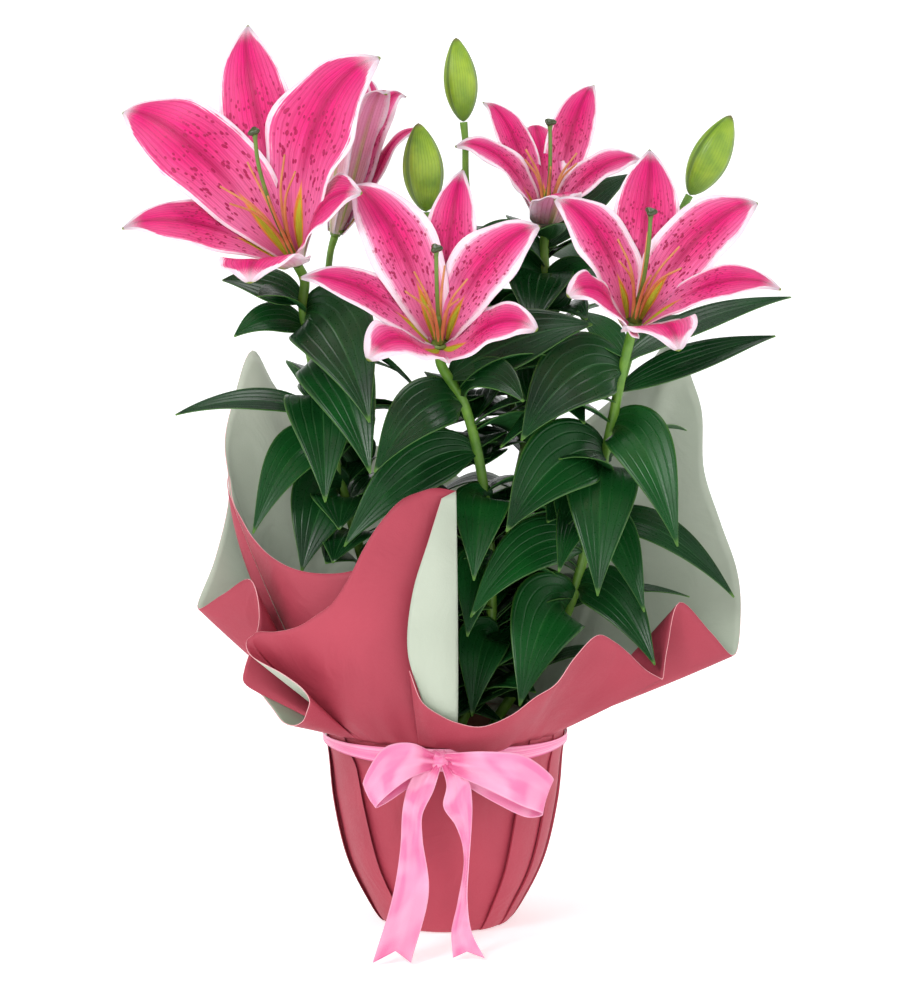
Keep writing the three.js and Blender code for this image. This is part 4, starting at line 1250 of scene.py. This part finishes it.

# Leaves that fill the dark inside of the plant, with a low tint that paints them darker as painted
# shade. A tip is kept above floor and behind front, and within the wrap's room, which widens upwards
# from the waist, or over the wrap's sides.
filling = {
    "count": 72,
    "low": 134,
    "above": 30,
    "reach": (44, 84),
    "half": (15, 22),
    "drop": (-0.5, 0.3),
    "grid": (6, 14),
    "floor": 128,
    "front": -62,
    "room": (60, 0.4, 98),
    "over": (320, 110),
    # low tint: painted shade, darker leaves inside the plant
    "tint": 0.1,
}


def stemPoints(spec):
    x, y = spec["foot"]
    bloom = bloomFrame(blooms[spec["top"]])
    low = [(x, y, foliageValues["bulbTop"])] + [(x, y, z) for z in foliageValues["straight"]]
    ends = [bloom["base"] - bloom["axis"] * gap for gap in (12, foliageValues["seatGap"])]
    return low + spec["path"] + ends


def pedicelPoints(spec):
    bears = spec["bears"]
    if bears in buds:
        foot = Vector(buds[bears]["foot"])
        axis = (Vector(buds[bears]["tip"]) - foot).normalized()
    else:
        bloom = bloomFrame(blooms[bears])
        foot, axis = bloom["base"], bloom["axis"]
    return spec["pedicel"] + [foot - axis * gap for gap in (12, foliageValues["seatGap"])]


def stemAt(line, height):
    low, high = 0, 1
    for _ in range(30):
        middle = (low + high) / 2
        if line(middle).z < height:
            low = middle
        else:
            high = middle
    return line(low)


def leafShape(root, tip, half, arch, face):
    chord = tip - root
    rise = Vector((0, 0, arch * chord.length))
    midrib = [root, root + chord * 0.3 + rise * 1.15, root + chord * 0.68 + rise * 1.05, tip]
    return {"midrib": midrib, "half": half, "facing": Vector((0, -face, 1 - abs(face))).normalized()}


# The leaves of a stem. Each wish is a list of shapes, of which the solids have one or none.
def leafWishes(name, line):
    wishes = []
    for height, tip, half, arch, face in leaves[name]:
        root = stemAt(line, height)
        tips = [Vector(tip) + Vector((0, shift, 0)) for shift in foliageValues["tipShifts"]]
        wishes.append([leafShape(root, end, half, arch, face) for end in tips])
    low, high, count, start, reach = spiral[name]
    for i in range(count):
        root = stemAt(line, mix(low, high, i / (count - 1)))
        shares = []
        for middle, swing, step in (variety["reach"], variety["half"]):
            shares.append(middle + swing * math.sin(i * step))
        out, half = reach * shares[0], shares[1]
        shapes = []
        for shift in foliageValues["turnShifts"]:
            turn = math.radians(start + foliageValues["goldenAngle"] * i + shift)
            tip = root + Vector((out * math.sin(turn), -out * math.cos(turn), out * variety["rise"]))
            shapes.append(leafShape(root, tip, half, 0.16, 0.35 * math.cos(turn)))
        wishes.append(shapes)
    return wishes


def solidLeaves(name, line):
    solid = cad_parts["leafy_stem_" + name].data.vertices
    tree = kdtree.KDTree(len(solid))
    for vert in solid:
        tree.insert(vert.co, vert.index)
    tree.balance()
    kept = []
    for shapes in leafWishes(name, line):
        for shape in shapes:
            distance = tree.find(shape["midrib"][3] * mm)[2]
            if distance < foliageValues["match"] * mm:
                kept.append(shape)
                break
    return kept


def fillLeaves(name, line, shades):
    values = filling
    low, high = values["low"], spiral[name][1] + values["above"]
    narrow, widening, wide = values["room"]
    brim, side = values["over"]
    shapes = []
    for i in range(values["count"]):
        height = mix(low, high, (i + shades.random()) / values["count"])
        root = stemAt(line, height)
        turn = math.radians(foliageValues["goldenAngle"] * i + 360 * shades.random())
        reach = mix(*values["reach"], shades.random())
        half = mix(*values["half"], shades.random())
        drop = mix(*values["drop"], shades.random())
        tip = root + Vector((reach * math.sin(turn), -reach * math.cos(turn), reach * drop))
        room = min(wide, narrow + (tip.z - values["floor"]) * widening)
        isInside = math.hypot(tip.x, tip.y) < room or tip.z > brim and abs(tip.x) < side
        if isInside and tip.y > values["front"] and tip.z > values["floor"]:
            shapes.append(leafShape(root, tip, half, 0.2, 0.4 * math.cos(turn)))
    return shapes


def leafPlace(shape, seed):
    midrib, half, facing = shape["midrib"], shape["half"], shape["facing"]
    form = foliageValues

    def place(u, t):
        s = 2 * u - 1
        outline = math.sin(math.pi * t ** form["widest"]) ** 1.1 if 0 < t < 1 else 0
        width = 0.5 + half * outline + form["root"] * (1 - t) ** 2
        heading = bendHeading(midrib, t)
        sideways = heading.cross(facing).normalized()
        normal = sideways.cross(heading)
        lift = form["fold"] * width * (math.sqrt(s * s + 0.012) - 0.1)
        sway = noise.noise(Vector((t * 2.2, seed * 2.3, 0.5 if s > 0 else 7.5)))
        lift += form["sway"] * sway * s * s * outline
        lift -= form["groove"] * bell(s, 0, 0.07) * ease(0, 0.1, t) * ease(1, 0.8, t)
        return bend(midrib, t) + sideways * (s * width) + normal * lift

    return place


def leafMaterial(name, dark, fresh, roughness):
    material, shader = newMaterial(name, roughness, {"Specular IOR Level": 0.34})
    objectPlace, uv = places(shader)
    across, along = axesOf(uv)
    across = offMiddle(across)
    mottle = placeGroup(mottleGroup, objectPlace, 28.0, 0.9)
    share = plus(times(mottle, 0.65), times(tintOf(shader), 0.45))
    share.node.use_clamp = True
    body = blendColour(share, dark, fresh)
    veins = placeGroup(veinGroup, uv, 7.0, 0.16, 0.03)
    body = blendColour(veins, body, foliageValues["vein"], 0.12)
    rib = between(across, 0.035, 0.0)
    body = blendColour(rib, body, foliageValues["vein"], 0.35)
    margin = placeGroup(marginGroup, uv, 0.93, 0.03, 0.03)
    body = blendColour(margin, body, foliageValues["margin"], 0.3)
    body = blendColour(between(along, 0.96, 1.0, 0.0, 0.8), body, foliageValues["margin"])
    feed(shader.inputs["Base Color"], body)
    pores = grain(objectPlace, 900.0, 1.0)
    feed(shader.inputs["Roughness"], between(pores, 0.2, 0.8, roughness - 0.04, roughness + 0.08))
    grooves = plus(times(veins, -0.7), times(pores, 0.12))
    reliefFrom(shader, grooves, 0.35)
    return material


def stemMaterial():
    material, shader = newMaterial("stemSkin", 0.42)
    objectPlace, _ = places(shader)
    mottle = placeGroup(mottleGroup, objectPlace, 90.0, 0.9)
    feed(shader.inputs["Base Color"], blendColour(mottle, *foliageValues["stemSkin"]))
    reliefFrom(shader, grain(objectPlace, 700.0, 2.0), 0.1)
    return material


def buildFoliage():
    skin = stemMaterial()
    upper = leafMaterial("leafUpper", foliageValues["dark"], foliageValues["fresh"], 0.3)
    under = leafMaterial("leafUnder", foliageValues["fresh"], foliageValues["under"], 0.5)
    shades = random.Random(7)
    total = 0
    for name, spec in stems.items():
        node = "leafy_stem_" + name
        line = smoothLine(stemPoints(spec))
        bm = newMesh()
        stemRadius = lambda u, v: mix(*foliageValues["stemRadius"], v)
        addBar(bm, line, stemRadius, *foliageValues["stemGrid"])
        pedicel = smoothLine(pedicelPoints(spec))
        pedicelRadius = lambda u, v: mix(*foliageValues["pedicelRadius"], ease(0.7, 1, v))
        addBar(bm, pedicel, pedicelRadius, *foliageValues["pedicelGrid"])
        makePiece(name + "Stem", bm, [skin], [node])
        bm = newMesh()
        for shape in solidLeaves(name, line):
            total += 1
            place = leafPlace(shape, total)
            addSheet(bm, foliageValues["across"], foliageValues["along"], place, shades.random())
        for shape in fillLeaves(name, line, shades):
            total += 1
            # the fill leaves' low tint paints them darker, as painted shade
            addSheet(bm, *filling["grid"], leafPlace(shape, total), filling["tint"])
        piece = makePiece(name + "Leaves", bm, [upper, under], [node])
        addWall(piece, foliageValues["thickness"], 1, 1)
    return total


leafCount = buildFoliage()
print("foliage grown,", leafCount, "leaves")


# Pot, soil and bulbs keep their solids and get finishes of their own

potValues = {"light": (132, 74, 54), "deep": (104, 56, 42)}
soilValues = {"light": (66, 48, 36), "deep": (24, 17, 13)}
bulbValues = {"light": (238, 228, 190), "deep": (204, 184, 128)}


def potMaterial():
    material, shader = newMaterial("mouldedPot", 0.5)
    objectPlace, _ = places(shader)
    mottle = placeGroup(mottleGroup, objectPlace, 25.0, 0.6)
    body = blendColour(mottle, potValues["deep"], potValues["light"])
    feed(shader.inputs["Base Color"], body)
    dust = grain(objectPlace, 500.0, 3.0)
    feed(shader.inputs["Roughness"], between(dust, 0.2, 0.8, 0.42, 0.6))
    reliefFrom(shader, dust, 0.08)
    return material


def soilMaterial():
    material, shader = newMaterial("pottingSoil", 0.95)
    objectPlace, _ = places(shader)
    feeds = {"Vector": objectPlace, "Scale": 260.0}
    crumbs = addNode("ShaderNodeTexVoronoi", feeds).outputs["Distance"]
    fibre = grain(objectPlace, 420.0, 4.0)
    share = times(crumbs, fibre)
    body = blendColour(between(share, 0.05, 0.4), soilValues["deep"], soilValues["light"])
    feed(shader.inputs["Base Color"], body)
    reliefFrom(shader, plus(crumbs, fibre), 1.6)
    return material


def bulbMaterial():
    material, shader = newMaterial("bulbScales", 0.6)
    objectPlace, _ = places(shader)
    scalePlace = stretched(objectPlace, (90, 90, 55))
    feeds = {"Vector": scalePlace, "Scale": 1.0}
    scales = addNode("ShaderNodeTexVoronoi", feeds, feature="DISTANCE_TO_EDGE")
    seam = between(scales.outputs["Distance"], 0.0, 0.12)
    body = blendColour(seam, bulbValues["deep"], bulbValues["light"])
    feed(shader.inputs["Base Color"], body)
    reliefFrom(shader, seam, 0.6)
    return material


def dressSolid(node, material):
    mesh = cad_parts[node].data
    mesh.materials.clear()
    mesh.materials.append(material)


dressSolid("pot", potMaterial())
dressSolid("soil", soilMaterial())
bulbScales = bulbMaterial()
for name in stems:
    dressSolid("bulb_" + name, bulbScales)
print("pot, soil and bulbs dressed")


# Studio: a plain pale floor that sweeps up all round, soft lights and the camera

studioValues = {
    "floorRadius": 3.6,
    "sweep": 1.4,
    "wallTop": 3.2,
    "sweepSteps": 12,
    "sides": 96,
    "white": (0.86, 0.86, 0.86, 1),
    "glow": 0.5,
    "worldStrength": 0.3,
    # name: place, size and power of an area light that looks at the flowers
    "lights": {
        "keyLight": ((-1.4, -2.2, 2.2), 0.8, 40),
        "fillLight": ((2.2, -1.6, 1.2), 1.6, 8),
        "topLight": ((0.2, 0.4, 2.7), 1.2, 22),
    },
    "aim": (0.0, 0.0, 0.3),
    "cameraPlace": (0.0032, -1.936, 0.517),
    "cameraAim": (0.0032, 0.0, 0.281),
    "lens": 109.09,
}


def buildStudio():
    bm = bmesh.new()
    radius, sweep, top = (studioValues[key] for key in ("floorRadius", "sweep", "wallTop"))
    profile = [(0, 0), (radius, 0)]
    steps = studioValues["sweepSteps"]
    for i in range(1, steps + 1):
        turn = math.pi / 2 * i / steps
        profile.append((radius + sweep * math.sin(turn), sweep * (1 - math.cos(turn))))
    profile.append((radius + sweep, top))
    corners = [bm.verts.new((x, 0, z)) for x, z in profile]
    lines = [bm.edges.new(pair) for pair in zip(corners, corners[1:])]
    bmesh.ops.spin(
        bm,
        geom=corners + lines,
        cent=(0, 0, 0),
        axis=(0, 0, 1),
        angle=2 * math.pi,
        steps=studioValues["sides"],
        use_merge=True,
    )
    bmesh.ops.remove_doubles(bm, verts=bm.verts, dist=1e-4)
    bmesh.ops.recalc_face_normals(bm, faces=bm.faces)
    for face in bm.faces:
        face.smooth = True
    mesh = bpy.data.meshes.new("studioSweep")
    bm.to_mesh(mesh)
    bm.free()
    floor = bpy.data.objects.new("studioSweep", mesh)
    bpy.context.scene.collection.objects.link(floor)
    material, shader = newMaterial("studioWhite", 0.9, {
        "Base Color": studioValues["white"],
        "Specular IOR Level": 0.1,
        "Emission Color": (1, 1, 1, 1),
        "Emission Strength": studioValues["glow"],
    })
    mesh.materials.append(material)


def aimAt(thing, place, aim):
    thing.location = place
    thing.rotation_euler = (Vector(aim) - Vector(place)).to_track_quat("-Z", "Y").to_euler()


def addLights():
    for name, (place, size, power) in studioValues["lights"].items():
        light = bpy.data.lights.new(name, "AREA")
        light.size = size
        light.energy = power
        holder = bpy.data.objects.new(name, light)
        bpy.context.scene.collection.objects.link(holder)
        aimAt(holder, place, studioValues["aim"])
    world = bpy.data.worlds.new("studioWorld")
    world.use_nodes = True
    sky = world.node_tree.nodes["Background"]
    sky.inputs["Color"].default_value = (1, 1, 1, 1)
    sky.inputs["Strength"].default_value = studioValues["worldStrength"]
    bpy.context.scene.world = world


def addCamera():
    lens = bpy.data.cameras.new("photoCamera")
    lens.lens = studioValues["lens"]
    camera = bpy.data.objects.new("photoCamera", lens)
    bpy.context.scene.collection.objects.link(camera)
    aimAt(camera, studioValues["cameraPlace"], studioValues["cameraAim"])
    bpy.context.scene.camera = camera


buildStudio()
addLights()
addCamera()
bpy.context.scene.view_settings.view_transform = "Standard"
print("studio ready")
